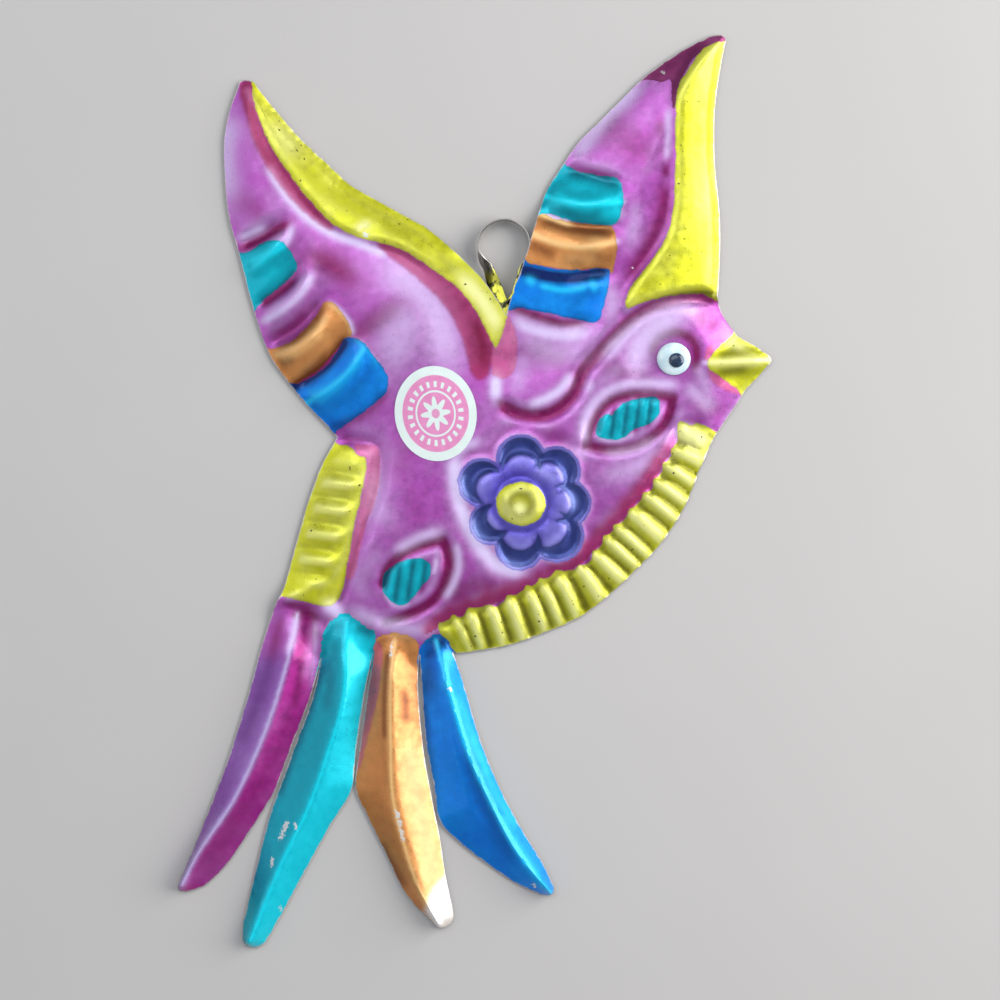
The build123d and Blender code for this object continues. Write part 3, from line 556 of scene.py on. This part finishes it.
# Painted shade, together with where the lacquer ran thick and dark, in the same way
POOLED_LACQUER_AND_SHADES = [
    (7, 0.9, 472, 318, 481, 340, 484, 372), (6, 0.6, 246, 92, 254, 130, 270, 164, 294, 200),
    (11, 0.36, 262, 108, 300, 162, 342, 202, 392, 230, 440, 262), (22, 0.15, 336, 456, 318, 520, 306, 590),
    (5.5, 1.2, 236, 251, 260, 240, 278, 230, 294, 222), (12, 0.4, 246, 203, 258, 212),
    (14, 0.95, 298, 256, 325, 262, 362, 288), (12, 0.75, 340, 350, 372, 325, 412, 300),
    (5, 1.2, 258, 307, 280, 293, 300, 278), (8, 0.85, 268, 338, 285, 332, 300, 322, 312, 306),
    (5.5, 0.9, 276, 354, 300, 338, 316, 322, 326, 302),
    (5.5, 1.5, 288, 390, 312, 376, 328, 364, 340, 350, 349, 336), (5, 0.7, 326, 430, 350, 421, 372, 409, 390, 390),
    (8, 0.5, 440, 256, 450, 268), (6, 0.6, 660, 117, 659, 143), (20, 0.5, 600, 120, 622, 138, 640, 150),
    (4.5, 1.0, 665, 165, 665, 180), (9, 0.95, 662, 180, 664, 200, 661, 218, 653, 238, 643, 256, 634, 270, 626, 287),
    (6, 0.8, 563, 171, 592, 176, 616, 184), (7, 0.4, 548, 210, 580, 216, 606, 216),
    (7, 0.95, 534, 215, 555, 224, 575, 230, 600, 233, 616, 234), (8, 0.75, 534, 246, 550, 254),
    (6, 0.5, 598, 258, 610, 260), (5, 0.5, 566, 262, 580, 264), (4, 0.8, 284, 362, 291, 360),
    (4, 0.8, 300, 376, 318, 364, 330, 350), (6, 1.5, 514, 269, 548, 277, 577, 278, 610, 272),
    (5, 1.2, 508, 308, 542, 319, 565, 325, 586, 324), (13, 0.4, 525, 352, 560, 358),
    (5, 1.2, 650, 358, 656, 341, 673, 333, 690, 339, 696, 354, 693, 374), (12, 0.45, 610, 368, 640, 378),
    (9, 0.6, 698, 318, 708, 328), (9, 0.6, 708, 310, 714, 324), (9, 0.45, 700, 405, 714, 410),
    (9, 0.4, 552, 434, 560, 440), (18, 0.15, 410, 480, 415, 515, 405, 535), (12, 0.7, 440, 608, 470, 588, 510, 588),
    (9, 0.4, 600, 520, 635, 495, 655, 470), (14, 0.3, 412, 440, 395, 470),
    (8, 1.0, 443, 541, 450, 558, 447, 577, 437, 596), (5, 0.8, 386, 622, 408, 616, 425, 606),
    (3.5, 0.7, 388, 569, 400, 557, 420, 546), (6, 0.9, 279, 603, 300, 606, 320, 611),
    (7, 0.7, 282, 612, 276, 640, 262, 690, 240, 745), (4.5, 1.0, 306, 616, 303, 660, 294, 710),
    (6, 0.9, 310, 620, 314, 634), (4.5, 1.0, 300, 636, 299, 668), (10, 0.5, 296, 700, 280, 750, 246, 805, 200, 875),
    (5, 0.8, 325, 660, 310, 710, 290, 765, 278, 800), (7, 0.5, 337, 630, 332, 660),
    (5, 0.6, 376, 648, 374, 690, 366, 740), (4, 0.5, 385, 690, 384, 740, 388, 790),
    (8, 0.85, 376, 835, 392, 866, 410, 892), (8, 0.8, 430, 655, 438, 645, 448, 645),
    (5, 1.0, 405, 686, 406, 706, 406, 726), (9, 0.45, 410, 640, 410, 690), (3, 1.1, 388, 650, 385, 700, 385, 740),
    (9, 0.45, 468, 745, 478, 785, 500, 835, 520, 862), (9, 1.0, 426, 648, 437, 640, 450, 648),
    (7, 1.3, 290, 613, 308, 616, 322, 621), (7, 0.8, 355, 624, 366, 630, 374, 638), (3.5, 1.2, 500, 402, 501, 406),
    (8, 0.6, 430, 650, 428, 700), (6, 0.7, 376, 648, 388, 637, 404, 637, 416, 645),
    (5, 0.5, 326, 640, 335, 624, 347, 617, 362, 626, 374, 634), (5, 0.75, 507, 494, 506, 508, 512, 518),
    (9, 0.6, 330, 652, 330, 690, 322, 722), (8, 0.5, 410, 860, 424, 898), (4, 0.6, 424, 700, 430, 760, 436, 812),
    (1, 0.6, 712, 70, 706, 95, 706, 135), (7, 0.35, 700, 142, 702, 150), (6, 0.8, 712, 376, 735, 371, 752, 370),
    (4.5, 0.7, 715, 357, 730, 353, 748, 354),
]


def painted(strokes):
    """The strongest of some brush strokes at each point."""
    return np.max([strength * stroke(at, np.reshape(line, (-1, 2)), width)
                   for width, strength, *line in strokes], axis=0)


# Painted shade together with pooled lacquer: the strokes, the neck groove, the leaf rings and ribs, a ring inside
# the flower's boss, the crescents' edges, the shaded flanks of the hem's ribs and the rump's rib valleys
pool = np.max([
    painted(POOLED_LACQUER_AND_SHADES),
    1.15 * eased((8.5 - neck_gap) / 4.5) * eased(neck_end * 2),
    1.1 * eased((7 - ring_gap) / 4),
    0.85 * leaf_valley,
    0.7 * bell(bloom_reach - 11, 5),
    0.8 * eased((2.6 - np.abs(crescent - 0.5)) / 2.2),
    1.1 * eased((np.cos(hem_turn + 2.5) - 0.1) / 0.9) * hem_band,
    0.7 * eased(-0.3 - rump_rib) * rump_band,
], axis=0)
# Painted highlights together with thin lacquer: the strokes, and the crests of the hem's ribs
glow = np.maximum(painted(THIN_LACQUER_AND_HIGHLIGHTS), 0.75 * eased((np.cos(hem_turn - 0.5) - 0.3) / 0.7) * hem_band)
# Painted shade and highlight on the feathers' facets, by the side the light comes from: a feather's number, how dark
# its left and right facets are, and how pale
FACET_PAINTED_SHADING = {2: (0.35, 0.0, 0.0, 0.45), 3: (0.3, 0.2, 0.0, 0.0), 4: (0.05, 0.0, 0.0, 0.3)}
for number, (left_dark, right_dark, left_pale, right_pale) in FACET_PAINTED_SHADING.items():
    left = np.maximum(facet, 0) * (in_feather == number)
    right = np.maximum(-facet, 0) * (in_feather == number)
    glow = np.maximum(glow, (left_pale * left + right_pale * right) * (1 - pool))
    pool = np.maximum(pool, left_dark * left + right_dark * right)
# Painted shade in the relief's hollows and painted highlight on its crests, together with lacquer pooled and thinned
# there
pool = np.maximum(pool, eased(hollow * 12) * 0.6)
glow = np.maximum(glow, eased(-hollow * 12) * 0.45)
glow, pool = evened(glow, 1), evened(pool, 1)
# Painted highlight along each feather's fold ridge
glow = np.maximum(glow, 0.8 * bell(ridge_gap, 0.35))
fringe = bell(np.maximum(hem_gap - 6, 0), 11) * (hem_side > 0) * in_body
fringe *= eased((hem_along - 10) / 50) * (0.92 + 0.08 * hem_rib)

# Where it is chipped, in the same way
CHIPS = [
    (2.72, 1, 290, 817, 284, 830, 279, 842), (2.4, 1, 273, 857, 272, 864), (2.56, 1, 396, 806, 400, 820, 404, 842),
    (1.76, 1, 392, 640, 391, 660), (2.08, 1, 449, 686, 451, 690), (2.08, 1, 533, 884, 536, 886),
    (1.76, 1, 296, 822, 297, 827), (2.72, 1, 662, 72.5, 662.5, 73), (3.2, 1, 365.5, 235, 366.5, 236.5),
    (1.76, 1, 632, 268, 633, 269), (2.08, 1, 280, 906, 281, 909),
]
layers = dict(paint, glow=glow, pool=pool, rim=rim_gap, fringe=fringe, chips=painted(CHIPS))
for name, values in layers.items():
    layer = sheet.data.attributes.new(name, "FLOAT", "POINT")
    layer.data.foreach_set("value", values.astype(np.float32))


class Nodes:
    """A material's node tree, built up a node at a time."""

    def __init__(self, name):
        self.material = bpy.data.materials.new(name)
        self.material.use_nodes = True
        self.tree = self.material.node_tree
        self.shader = self.tree.nodes["Principled BSDF"]
        self.place = self.add("ShaderNodeTexCoord").outputs["Object"]

    def add(self, kind, given=(), **settings):
        """A new node with its settings, and with values or links on its sockets."""
        node = self.tree.nodes.new(kind)
        for name, value in settings.items():
            setattr(node, name, value)
        for socket, value in dict(given).items():
            self.put(node.inputs[socket], value)
        return node

    def put(self, socket, value):
        if isinstance(value, bpy.types.NodeSocket):
            self.tree.links.new(value, socket)
        elif isinstance(value, tuple) and socket.type == "RGBA":
            socket.default_value = value + (1,)
        else:
            socket.default_value = value

    def attribute(self, name):
        return self.add("ShaderNodeAttribute", attribute_name=name).outputs["Fac"]

    def noise(self, per_mm, detail=2.0, rough=0.5, stretch=None, lean=0.0):
        place = self.place
        if stretch:
            turned = {"Vector": place, "Scale": stretch, "Rotation": (0, 0, lean)}
            place = self.add("ShaderNodeMapping", turned).outputs["Vector"]
        given = {"Vector": place, "Scale": per_mm / MM, "Detail": detail, "Roughness": rough}
        return self.add("ShaderNodeTexNoise", given).outputs["Fac"]

    def math(self, kind, *values):
        return self.add("ShaderNodeMath", enumerate(values), operation=kind).outputs[0]

    def range(self, value, low, high, to_low=0.0, to_high=1.0):
        given = enumerate((value, low, high, to_low, to_high))
        return self.add("ShaderNodeMapRange", given, interpolation_type="SMOOTHSTEP").outputs["Result"]

    def mix(self, share, a, b):
        return self.add("ShaderNodeMix", {0: share, 6: a, 7: b}, data_type="RGBA").outputs[2]

    def mottled(self, per_mm, detail, main, second, low=0.35, high=0.7, most=1.0):
        """One colour clouded with another."""
        return self.mix(self.range(self.noise(per_mm, detail), low, high, 0.0, most), main, second)

    def bump(self, height, distance_mm, strength=1.0, under=None):
        given = {"Strength": strength, "Distance": distance_mm * MM, "Height": height}
        if under:
            given["Normal"] = under
        return self.add("ShaderNodeBump", given).outputs["Normal"]

    def finish(self, settings):
        """Gives the shader's sockets their values, or what other nodes give."""
        for name, value in settings.items():
            self.put(self.shader.inputs[name], value)


def ink(red, green, blue):
    """A colour from its 0 to 255 values, as light."""
    return tuple(((value / 255 + 0.055) / 1.055) ** 2.4 if value > 10 else value / 255 / 12.92
                 for value in (red, green, blue))


# Each lacquer's edge softness in mm and cover, then its colour, its thick and dark tone, also used for painted
# shade, and its thin and pale tone, also used for painted highlights
LACQUERS = [
    ("magenta", 0.5, 0.95, (176, 26, 142), (130, 12, 100), (226, 150, 226)),
    ("plum", 0.6, 0.9, (142, 88, 172), (100, 52, 134), (206, 196, 244)),
    ("copper", 0.12, 1.0, (228, 150, 82), (120, 58, 18), (248, 204, 134)),
    ("crimson", 0.5, 0.95, (168, 44, 100), (132, 18, 60), (206, 120, 170)),
    ("blush", 0.25, 0.65, (222, 100, 138), (178, 50, 90), (240, 170, 195)),
    ("maroon", 0.12, 1.0, (122, 32, 88), (76, 14, 56), (200, 110, 170)),
    ("violet", 0.12, 1.0, (98, 82, 206), (50, 42, 136), (180, 178, 250)),
    ("navy", 0.2, 1.0, (60, 78, 164), (26, 28, 88), (120, 140, 214)),
    ("yellow", 0.12, 1.0, (222, 224, 34), (118, 116, 6), (253, 252, 170)),
    ("teal", 0.12, 1.0, (0, 186, 206), (0, 84, 108), (0, 232, 252)),
    ("blue", 0.12, 1.0, (0, 130, 242), (0, 34, 100), (20, 205, 255)),
    ("white_tip", 0.9, 0.9, (250, 246, 240), (236, 224, 206), (255, 255, 255)),
]
coat = Nodes("lacquered_tin")
wander = coat.math("SUBTRACT", coat.noise(0.9, 3), 0.5)


def uneven(layer, reach, by=wander):
    """One of the sheet's layers, with its edges made uneven."""
    return coat.math("MULTIPLY_ADD", by, reach, coat.attribute(layer))


# Painted shade with pooled lacquer, and painted highlights with thin lacquer, each with uneven edges
pooled_and_shade_layer, thinned_and_highlight_layer = uneven("pool", 0.12), uneven("glow", 0.1)
cloud = coat.noise(0.11, 4, 0.6)
streak = coat.noise(0.5, 3, 0.6, stretch=(1, 0.25, 1), lean=0.6)


def brushed(main, dark, pale):
    """One lacquer's colour over the tin, from thick and dark to thin and pale, with painted shade on the dark side
    and painted highlights on the pale side.
    """
    colour = coat.mix(coat.range(cloud, 0.35, 0.75, 0.0, 0.2), main, pale)
    colour = coat.mix(coat.range(streak, 0.45, 0.8, 0.0, 0.12), colour, dark)
    colour = coat.mix(pooled_and_shade_layer, colour, dark)
    return coat.mix(thinned_and_highlight_layer, colour, pale)


# The magenta ground: dark where painted shade and pooled lacquer lie, pale where painted highlights and thin lacquer
# lie
colour = brushed(ink(186, 86, 188), ink(132, 16, 92), ink(228, 212, 253))
fringe_edge = uneven("fringe", 0.5, coat.math("SUBTRACT", coat.noise(0.25, 1), 0.5))
colour = coat.mix(coat.range(fringe_edge, 0.05, 0.95, 0.0, 0.85), colour, ink(164, 32, 92))
for name, soft, cover, *shades in LACQUERS:
    main, dark, pale = (ink(*shade) for shade in shades)
    depth = uneven(name, 0.6)
    lacquer = coat.mix(coat.range(depth, 0.0, 0.45, 0.35, 0.0), brushed(main, dark, pale), dark)
    colour = coat.mix(coat.range(depth, -soft, soft, 0.0, cover), colour, lacquer)
speck = coat.range(coat.noise(1.7, 0), 0.80, 0.82, 0.0, 0.85)
speck = coat.math("MULTIPLY", speck, coat.range(coat.attribute("yellow"), 0.0, 0.3, 0.2, 1.0))
colour = coat.mix(speck, colour, ink(60, 45, 30))
bare = coat.range(uneven("rim", 0.5), 0.02, 0.2, 0.85, 0.0)
colour = coat.mix(bare, colour, ink(200, 195, 190))
flake = coat.math("SUBTRACT", coat.noise(2.4, 3, 0.7), 0.5)
chipped = coat.range(uneven("chips", 2.2, flake), 0.55, 0.7, 0.0, 0.9)
colour = coat.mix(chipped, colour, ink(222, 222, 218))
coat.finish({
    "Base Color": colour,
    "Metallic": coat.range(thinned_and_highlight_layer, 0.0, 0.9, 0.6, 0.1),
    "Roughness": coat.range(coat.noise(0.6, 4), 0.3, 0.75, 0.24, 0.46),
    "Specular IOR Level": 0.3,
    "Coat Weight": 0.3,
    "Coat Roughness": 0.1,
    "Normal": coat.bump(coat.noise(3.0, 2), 0.012, 0.5, coat.bump(coat.noise(0.2, 2), 0.3, 0.4)),
})

bare_tin = Nodes("bare_tin")
grain = bare_tin.noise(0.8, 4, 0.6, stretch=(1, 0.08, 1), lean=0.4)
tin_colour = bare_tin.mottled(0.15, 3, ink(150, 148, 145), ink(190, 188, 186))
bare_tin.finish({
    "Base Color": bare_tin.mottled(0.4, 5, tin_colour, ink(120, 105, 90), 0.55, 0.75, 0.5),
    "Metallic": 0.95,
    "Roughness": bare_tin.range(grain, 0.3, 0.7, 0.28, 0.5),
    "Normal": bare_tin.bump(grain, 0.02, 0.5),
})


def worked(piece, name, kind, **settings):
    """Puts a modifier on a piece, sets it and applies it."""
    modifier = piece.modifiers.new(name, kind)
    for key, value in settings.items():
        setattr(modifier, key, value)
    bpy.ops.object.modifier_apply(modifier=name)


def smooth(degrees):
    """Smooths the picked piece, but for edges sharper than an angle."""
    bpy.ops.object.shade_smooth_by_angle(angle=math.radians(degrees))


for nodes in (coat, bare_tin):
    sheet.data.materials.append(nodes.material)
worked(sheet, "thickness", "SOLIDIFY", thickness=SHEET * MM, offset=-1, material_offset=1, material_offset_rim=1)
smooth(42)
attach(sheet, "root")
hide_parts("bird_sheet")


# Hanging loop: a narrow offcut of the same tinplate, left bare, bent round a rod into an
# eye. Its left leg is twisted flat on the way down, and both ends lie behind the sheet.
STRIP_WIDTH, STRIP_THICK = 2.2, 0.3
BORE, OPEN_SHARE = 4.1, 0.22
END_LENGTH, LEFT_END_RISE, RIGHT_END_RISE, RING_RISE = 5.9, 2.35, 2.05, 1.4
ASIDE = 0.1


def spot(px, py):
    return np.array([(px - MIDDLE_X_PX) * PX, (MIDDLE_Y_PX - py) * PX])


ring, crotch = spot(503.8, 246), spot(506, 316)
ring_reach = BORE + STRIP_THICK / 2
downward = math.atan2(*(crotch - ring)[::-1])
half_open = math.pi * OPEN_SHARE


def on_ring(turn):
    return ring + ring_reach * np.array([math.cos(turn), math.sin(turn)])


# The strip's middle line from its left end to its right one: x, y, z, and 1 where it lies flat
left_top, right_top = on_ring(downward - half_open), on_ring(downward + half_open)
path = []
for share in np.linspace(0, 1, 8):
    path.append((*(crotch + (-ASIDE, END_LENGTH * (share - 1))), LEFT_END_RISE, 1.0))
for share in np.linspace(0.08, 1, 16):
    path.append((*(crotch + (-ASIDE, 0) + share * (left_top - crotch)),
                 LEFT_END_RISE - (LEFT_END_RISE - RING_RISE) * eased(share * 1.3),
                 1 - 0.55 * eased((share - 0.4) / 0.6)))
for share in np.linspace(0.02, 0.98, 52):
    turn = downward - half_open - share * (2 * math.pi - 2 * half_open)
    path.append((*on_ring(turn), RING_RISE, 0.45 * (1 - eased(share / 0.16))))
for share in np.linspace(0, 0.92, 14):
    path.append((*(right_top + share * (crotch + (ASIDE, 0) - right_top)),
                 RING_RISE + (RIGHT_END_RISE - RING_RISE) * eased(share), eased((share - 0.55) / 0.45)))
for share in np.linspace(0, 1, 8):
    path.append((*(crotch + (ASIDE, -END_LENGTH * share)), RIGHT_END_RISE, 1.0))
path = np.array(path)
tangents = np.gradient(path[:, :3], axis=0)
tangents /= np.linalg.norm(tangents, axis=1)[:, None]
strip_verts, strip_faces = [], []
for (x, y, z, flat), tangent in zip(path, tangents):
    sideways = np.cross(tangent, (0, 0, 1))
    sideways /= np.linalg.norm(sideways)
    turn = flat * math.pi / 2
    wide = np.array([0, 0, 1]) * math.cos(turn) + sideways * math.sin(turn)
    thin_way = np.cross(tangent, wide)
    for wide_sign, thin_sign in ((-1, -1), (1, -1), (1, 1), (-1, 1)):
        corner = (wide * wide_sign * STRIP_WIDTH + thin_way * thin_sign * STRIP_THICK) / 2
        strip_verts.append(tuple((corner + (x, y, z)) * MM))
for i in range(len(path) - 1):
    for k in range(4):
        a, b = 4 * i + k, 4 * i + (k + 1) % 4
        strip_faces.append((a, b, b + 4, a + 4))
strip_faces += [(3, 2, 1, 0), tuple(len(strip_verts) - 4 + k for k in range(4))]
loop_strip = laid_out("loop_strip", strip_verts, strip_faces)
# Near the crotch the bare strip turns yellow: yellow lacquer splashed on it together with a painted reflection of
# the yellow strip beside it
loop_metal = Nodes("loop_tin")
run_grain = loop_metal.noise(0.8, 4, 0.6, stretch=(1, 0.2, 1), lean=0.4)
yellow_centre = (crotch[0] * MM, (crotch[1] + 2.5) * MM, 2 * MM)
crotch_gap = loop_metal.add("ShaderNodeVectorMath", {0: loop_metal.place, 1: yellow_centre}, operation="DISTANCE")
yellow_reflection_and_splash_mask = loop_metal.math("MULTIPLY_ADD", run_grain, 0.004, crotch_gap.outputs["Value"])
steel = loop_metal.mottled(0.3, 3, ink(150, 145, 138), ink(186, 182, 176))
yellow_reflection_and_splash = loop_metal.mottled(0.7, 2, ink(70, 74, 16), ink(226, 222, 70), 0.42, 0.55)
loop_metal.finish({
    "Base Color": loop_metal.mix(loop_metal.range(yellow_reflection_and_splash_mask, 0.0065, 0.0085, 0.9, 0.0), steel, yellow_reflection_and_splash),
    "Metallic": 0.9,
    "Roughness": loop_metal.range(run_grain, 0.3, 0.7, 0.22, 0.42),
    "Normal": loop_metal.bump(run_grain, 0.02, 0.5),
})
loop_strip.data.materials.append(loop_metal.material)


def edit_all():
    """Goes into edit mode with all of the piece selected."""
    bpy.ops.object.mode_set(mode="EDIT")
    bpy.ops.mesh.select_all(action="SELECT")


edit_all()
bpy.ops.mesh.normals_make_consistent(inside=False)
bpy.ops.object.mode_set(mode="OBJECT")
worked(loop_strip, "white_tip_edges", "BEVEL", width=0.05 * MM, segments=2)
smooth(40)
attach(loop_strip, "root")
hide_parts("hanging_loop")


# Solder: one soft blob run over the loop's two ends on the back of the sheet, dull grey
# with a frosted skin where it cooled.
SOLDER_TOP, SOLDER_HALF, SOLDER_DOWN = 2.5, (2.55, 3.45, 1.25), 3.3


def started(name, primitive, **sizes):
    """A new piece begun from one of the plain shapes."""
    bpy.ops.object.select_all(action="DESELECT")
    primitive(**sizes)
    bpy.context.object.name = name
    return bpy.context.object


solder = started("solder_blob", bpy.ops.mesh.primitive_ico_sphere_add, subdivisions=5, radius=1 * MM)
edit_all()
bpy.ops.transform.resize(value=SOLDER_HALF)
bpy.ops.transform.translate(value=(crotch[0] * MM, (crotch[1] - SOLDER_DOWN) * MM, SOLDER_TOP * MM))
bpy.ops.mesh.bisect(plane_co=(0, 0, (SOLDER_TOP - 0.02) * MM), plane_no=(0, 0, 1), use_fill=True, clear_outer=True)
bpy.ops.object.mode_set(mode="OBJECT")
ripple = bpy.data.textures.new("solder_ripple", "CLOUDS")
ripple.noise_scale = 1.3 * MM
worked(solder, "lumps", "DISPLACE", texture=ripple, strength=0.12 * MM, mid_level=1.0)
smooth(60)
dull_metal = Nodes("solder")
skin = dull_metal.noise(1.5, 4, 0.6)
dull_metal.finish({
    "Base Color": dull_metal.mix(dull_metal.range(skin, 0.35, 0.7), ink(120, 120, 122), ink(185, 185, 188)),
    "Metallic": 0.9,
    "Roughness": dull_metal.range(skin, 0.3, 0.7, 0.3, 0.6),
    "Normal": dull_metal.bump(skin, 0.06, 0.6),
})
solder.data.materials.append(dull_metal.material)
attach(solder, "root")
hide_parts("loop_solder")


# Sticker: an oval paper label with a pale edge, printed pink, pressed down by thumb so it
# follows the stamped surface under it.
LABEL_HALF, LABEL_TURN, LABEL_RINGS = (6.7, 7.8), math.radians(8), 7
label_x, label_y = spot(436, 414) * MM
label = started("paper_label", bpy.ops.mesh.primitive_circle_add, vertices=96, radius=1 * MM, fill_type="NGON")
edit_all()
for _ in range(LABEL_RINGS):
    bpy.ops.mesh.inset(thickness=0.12 * MM)
bpy.ops.mesh.poke()
bpy.ops.mesh.select_all(action="SELECT")
bpy.ops.transform.resize(value=(*LABEL_HALF, 1))
bpy.ops.transform.rotate(value=-LABEL_TURN, orient_axis="Z", center_override=(0, 0, 0))
bpy.ops.transform.translate(value=(label_x, label_y, 8 * MM))
bpy.ops.object.mode_set(mode="OBJECT")
worked(label, "pressed_down", "SHRINKWRAP", wrap_method="PROJECT", use_project_z=True, use_negative_direction=True,
       use_positive_direction=False, target=sheet, offset=0.05 * MM)
worked(label, "paper", "SOLIDIFY", thickness=0.1 * MM, offset=1)
smooth(40)
paper = Nodes("label_paper")
centred = paper.add("ShaderNodeMapping", {
    "Vector": paper.place,
    "Location": (label_x, label_y, 0),
    "Rotation": (0, 0, LABEL_TURN),
    "Scale": (LABEL_HALF[0] * MM, LABEL_HALF[1] * MM, 1),
}, vector_type="TEXTURE")
split = paper.add("ShaderNodeSeparateXYZ", {0: centred.outputs[0]})
along, up = split.outputs[0], split.outputs[1]
reach = paper.math("SQRT", paper.math("MULTIPLY_ADD", along, along, paper.math("MULTIPLY", up, up)))
turn = paper.math("ARCTAN2", up, along)
DASHES, PETAL_COUNT = 22.0, 8.0


def print_ring(middle, full, none):
    """A printed ring: 1 near its middle line, 0 away from it."""
    off = paper.math("ABSOLUTE", paper.math("SUBTRACT", reach, middle))
    return paper.range(off, full, none, 1.0, 0.0)


dashes = paper.range(paper.math("COSINE", paper.math("MULTIPLY", turn, DASHES)), 0.1, 0.4)
dash_ring = paper.math("MULTIPLY", print_ring(0.62, 0.05, 0.075), dashes)
petals = paper.math("MULTIPLY_ADD", paper.math("COSINE", paper.math("MULTIPLY", turn, PETAL_COUNT)), 0.09, 0.27)
rosette = paper.range(paper.math("SUBTRACT", reach, petals), -0.01, 0.02, 1.0, 0.0)
heart = paper.range(reach, 0.09, 0.11, 1.0, 0.0)
print_mask = paper.range(reach, 0.80, 0.82)
for figure in (dash_ring, rosette, print_ring(0.47, 0.012, 0.03)):
    print_mask = paper.math("MAXIMUM", print_mask, figure)
print_mask = paper.math("SUBTRACT", print_mask, paper.math("MULTIPLY", heart, 0.9))
white = paper.mix(paper.noise(0.5, 3), ink(214, 232, 226), ink(238, 250, 246))
pink = paper.mix(paper.noise(0.8, 4), ink(222, 120, 178), ink(236, 160, 205))
paper.finish({
    "Base Color": paper.mix(print_mask, pink, white),
    "Roughness": paper.range(paper.noise(1.2, 3), 0.3, 0.7, 0.35, 0.55),
    "Coat Weight": 0.35,
    "Coat Roughness": 0.25,
    "Normal": paper.bump(paper.noise(2.5, 3), 0.02, 0.5),
})
label.data.materials.append(paper.material)
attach(label, "root")
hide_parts("sticker")


# Eye: a drop of thick white enamel let fall into the round seat, and a smaller drop of
# dark enamel set on it, both left to level by themselves, so their edges are not quite round.
def enamel_drop(name, centre, radius, base, rise, main, shade):
    x, y = spot(*centre)
    drop = started(name, bpy.ops.mesh.primitive_uv_sphere_add, segments=64, ring_count=32, radius=1 * MM)
    edit_all()
    bpy.ops.mesh.bisect(plane_co=(0, 0, 0), plane_no=(0, 0, -1), use_fill=True, clear_outer=True)
    bpy.ops.mesh.select_all(action="SELECT")
    bpy.ops.transform.resize(value=(radius * 0.99, radius * 0.96, rise))
    bpy.ops.transform.translate(value=(x * MM, y * MM, base * MM))
    bpy.ops.object.mode_set(mode="OBJECT")
    smooth(50)
    enamel = Nodes(name)
    enamel.finish({
        "Base Color": enamel.mottled(0.7, 3, main, shade),
        "Roughness": enamel.range(enamel.noise(1.5, 3), 0.3, 0.7, 0.18, 0.34),
        "Coat Weight": 1.0,
        "Coat Roughness": 0.05,
        "Normal": enamel.bump(enamel.noise(0.6, 2), 0.08, 0.5),
    })
    drop.data.materials.append(enamel.material)
    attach(drop, "root")
    return drop


eye_white = enamel_drop("white_enamel", EYE, 2.8, 2.87, 0.68, ink(226, 244, 248), ink(196, 224, 232))
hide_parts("eye_white")
eye_pupil = enamel_drop("dark_enamel", (675.5, 361), 1.24, 3.43, 0.42, ink(22, 62, 98), ink(10, 30, 55))
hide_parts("eye_pupil")


# Table: a plain pale board with soft studio light. The camera looks straight down.
floor = started("floor", bpy.ops.mesh.primitive_plane_add, size=3)
board = Nodes("pale_board")
board.finish({
    "Base Color": board.mix(board.noise(0.02, 3), ink(196, 193, 190), ink(202, 199, 196)),
    "Roughness": 0.7,
})
floor.data.materials.append(board.material)

world = bpy.data.worlds.new("studio")
world.use_nodes = True
sky = world.node_tree.nodes["Background"]
sky.inputs["Color"].default_value = (0.82, 0.86, 0.95, 1)
sky.inputs["Strength"].default_value = 0.40
bpy.context.scene.world = world
bpy.context.scene.view_settings.view_transform = "Standard"


def soft_light(name, place, size, power, tint):
    lamp = bpy.data.lights.new(name, "AREA")
    lamp.shape = "RECTANGLE"
    lamp.size, lamp.size_y = size
    lamp.energy = power
    lamp.color = tint
    light = bpy.data.objects.new(name, lamp)
    bpy.context.collection.objects.link(light)
    light.location = place
    light.rotation_euler = (-Vector(place)).to_track_quat("-Z", "Y").to_euler()


soft_light("window", (0.46, 0.14, 0.26), (0.55, 0.5), 3.9, (1.0, 0.99, 0.97))
soft_light("ceiling", (-0.10, 0.25, 0.55), (0.5, 0.3), 0.8, (0.93, 0.96, 1.0))
soft_light("bounce", (-0.42, 0.05, 0.30), (0.5, 0.5), 0.4, (0.95, 0.95, 1.0))

CAMERA_RISE, SENSOR, VIEW_PX = 0.6, 36, 1000
camera_data = bpy.data.cameras.new("camera")
camera_data.sensor_width = SENSOR
camera_data.lens = SENSOR * (CAMERA_RISE - SHEET * MM) / (VIEW_PX * PX * MM)
camera = bpy.data.objects.new("camera", camera_data)
bpy.context.collection.objects.link(camera)
centre_x, centre_y = spot(VIEW_PX / 2, VIEW_PX / 2)
camera.location = (centre_x * MM, centre_y * MM, CAMERA_RISE)
bpy.context.scene.camera = camera
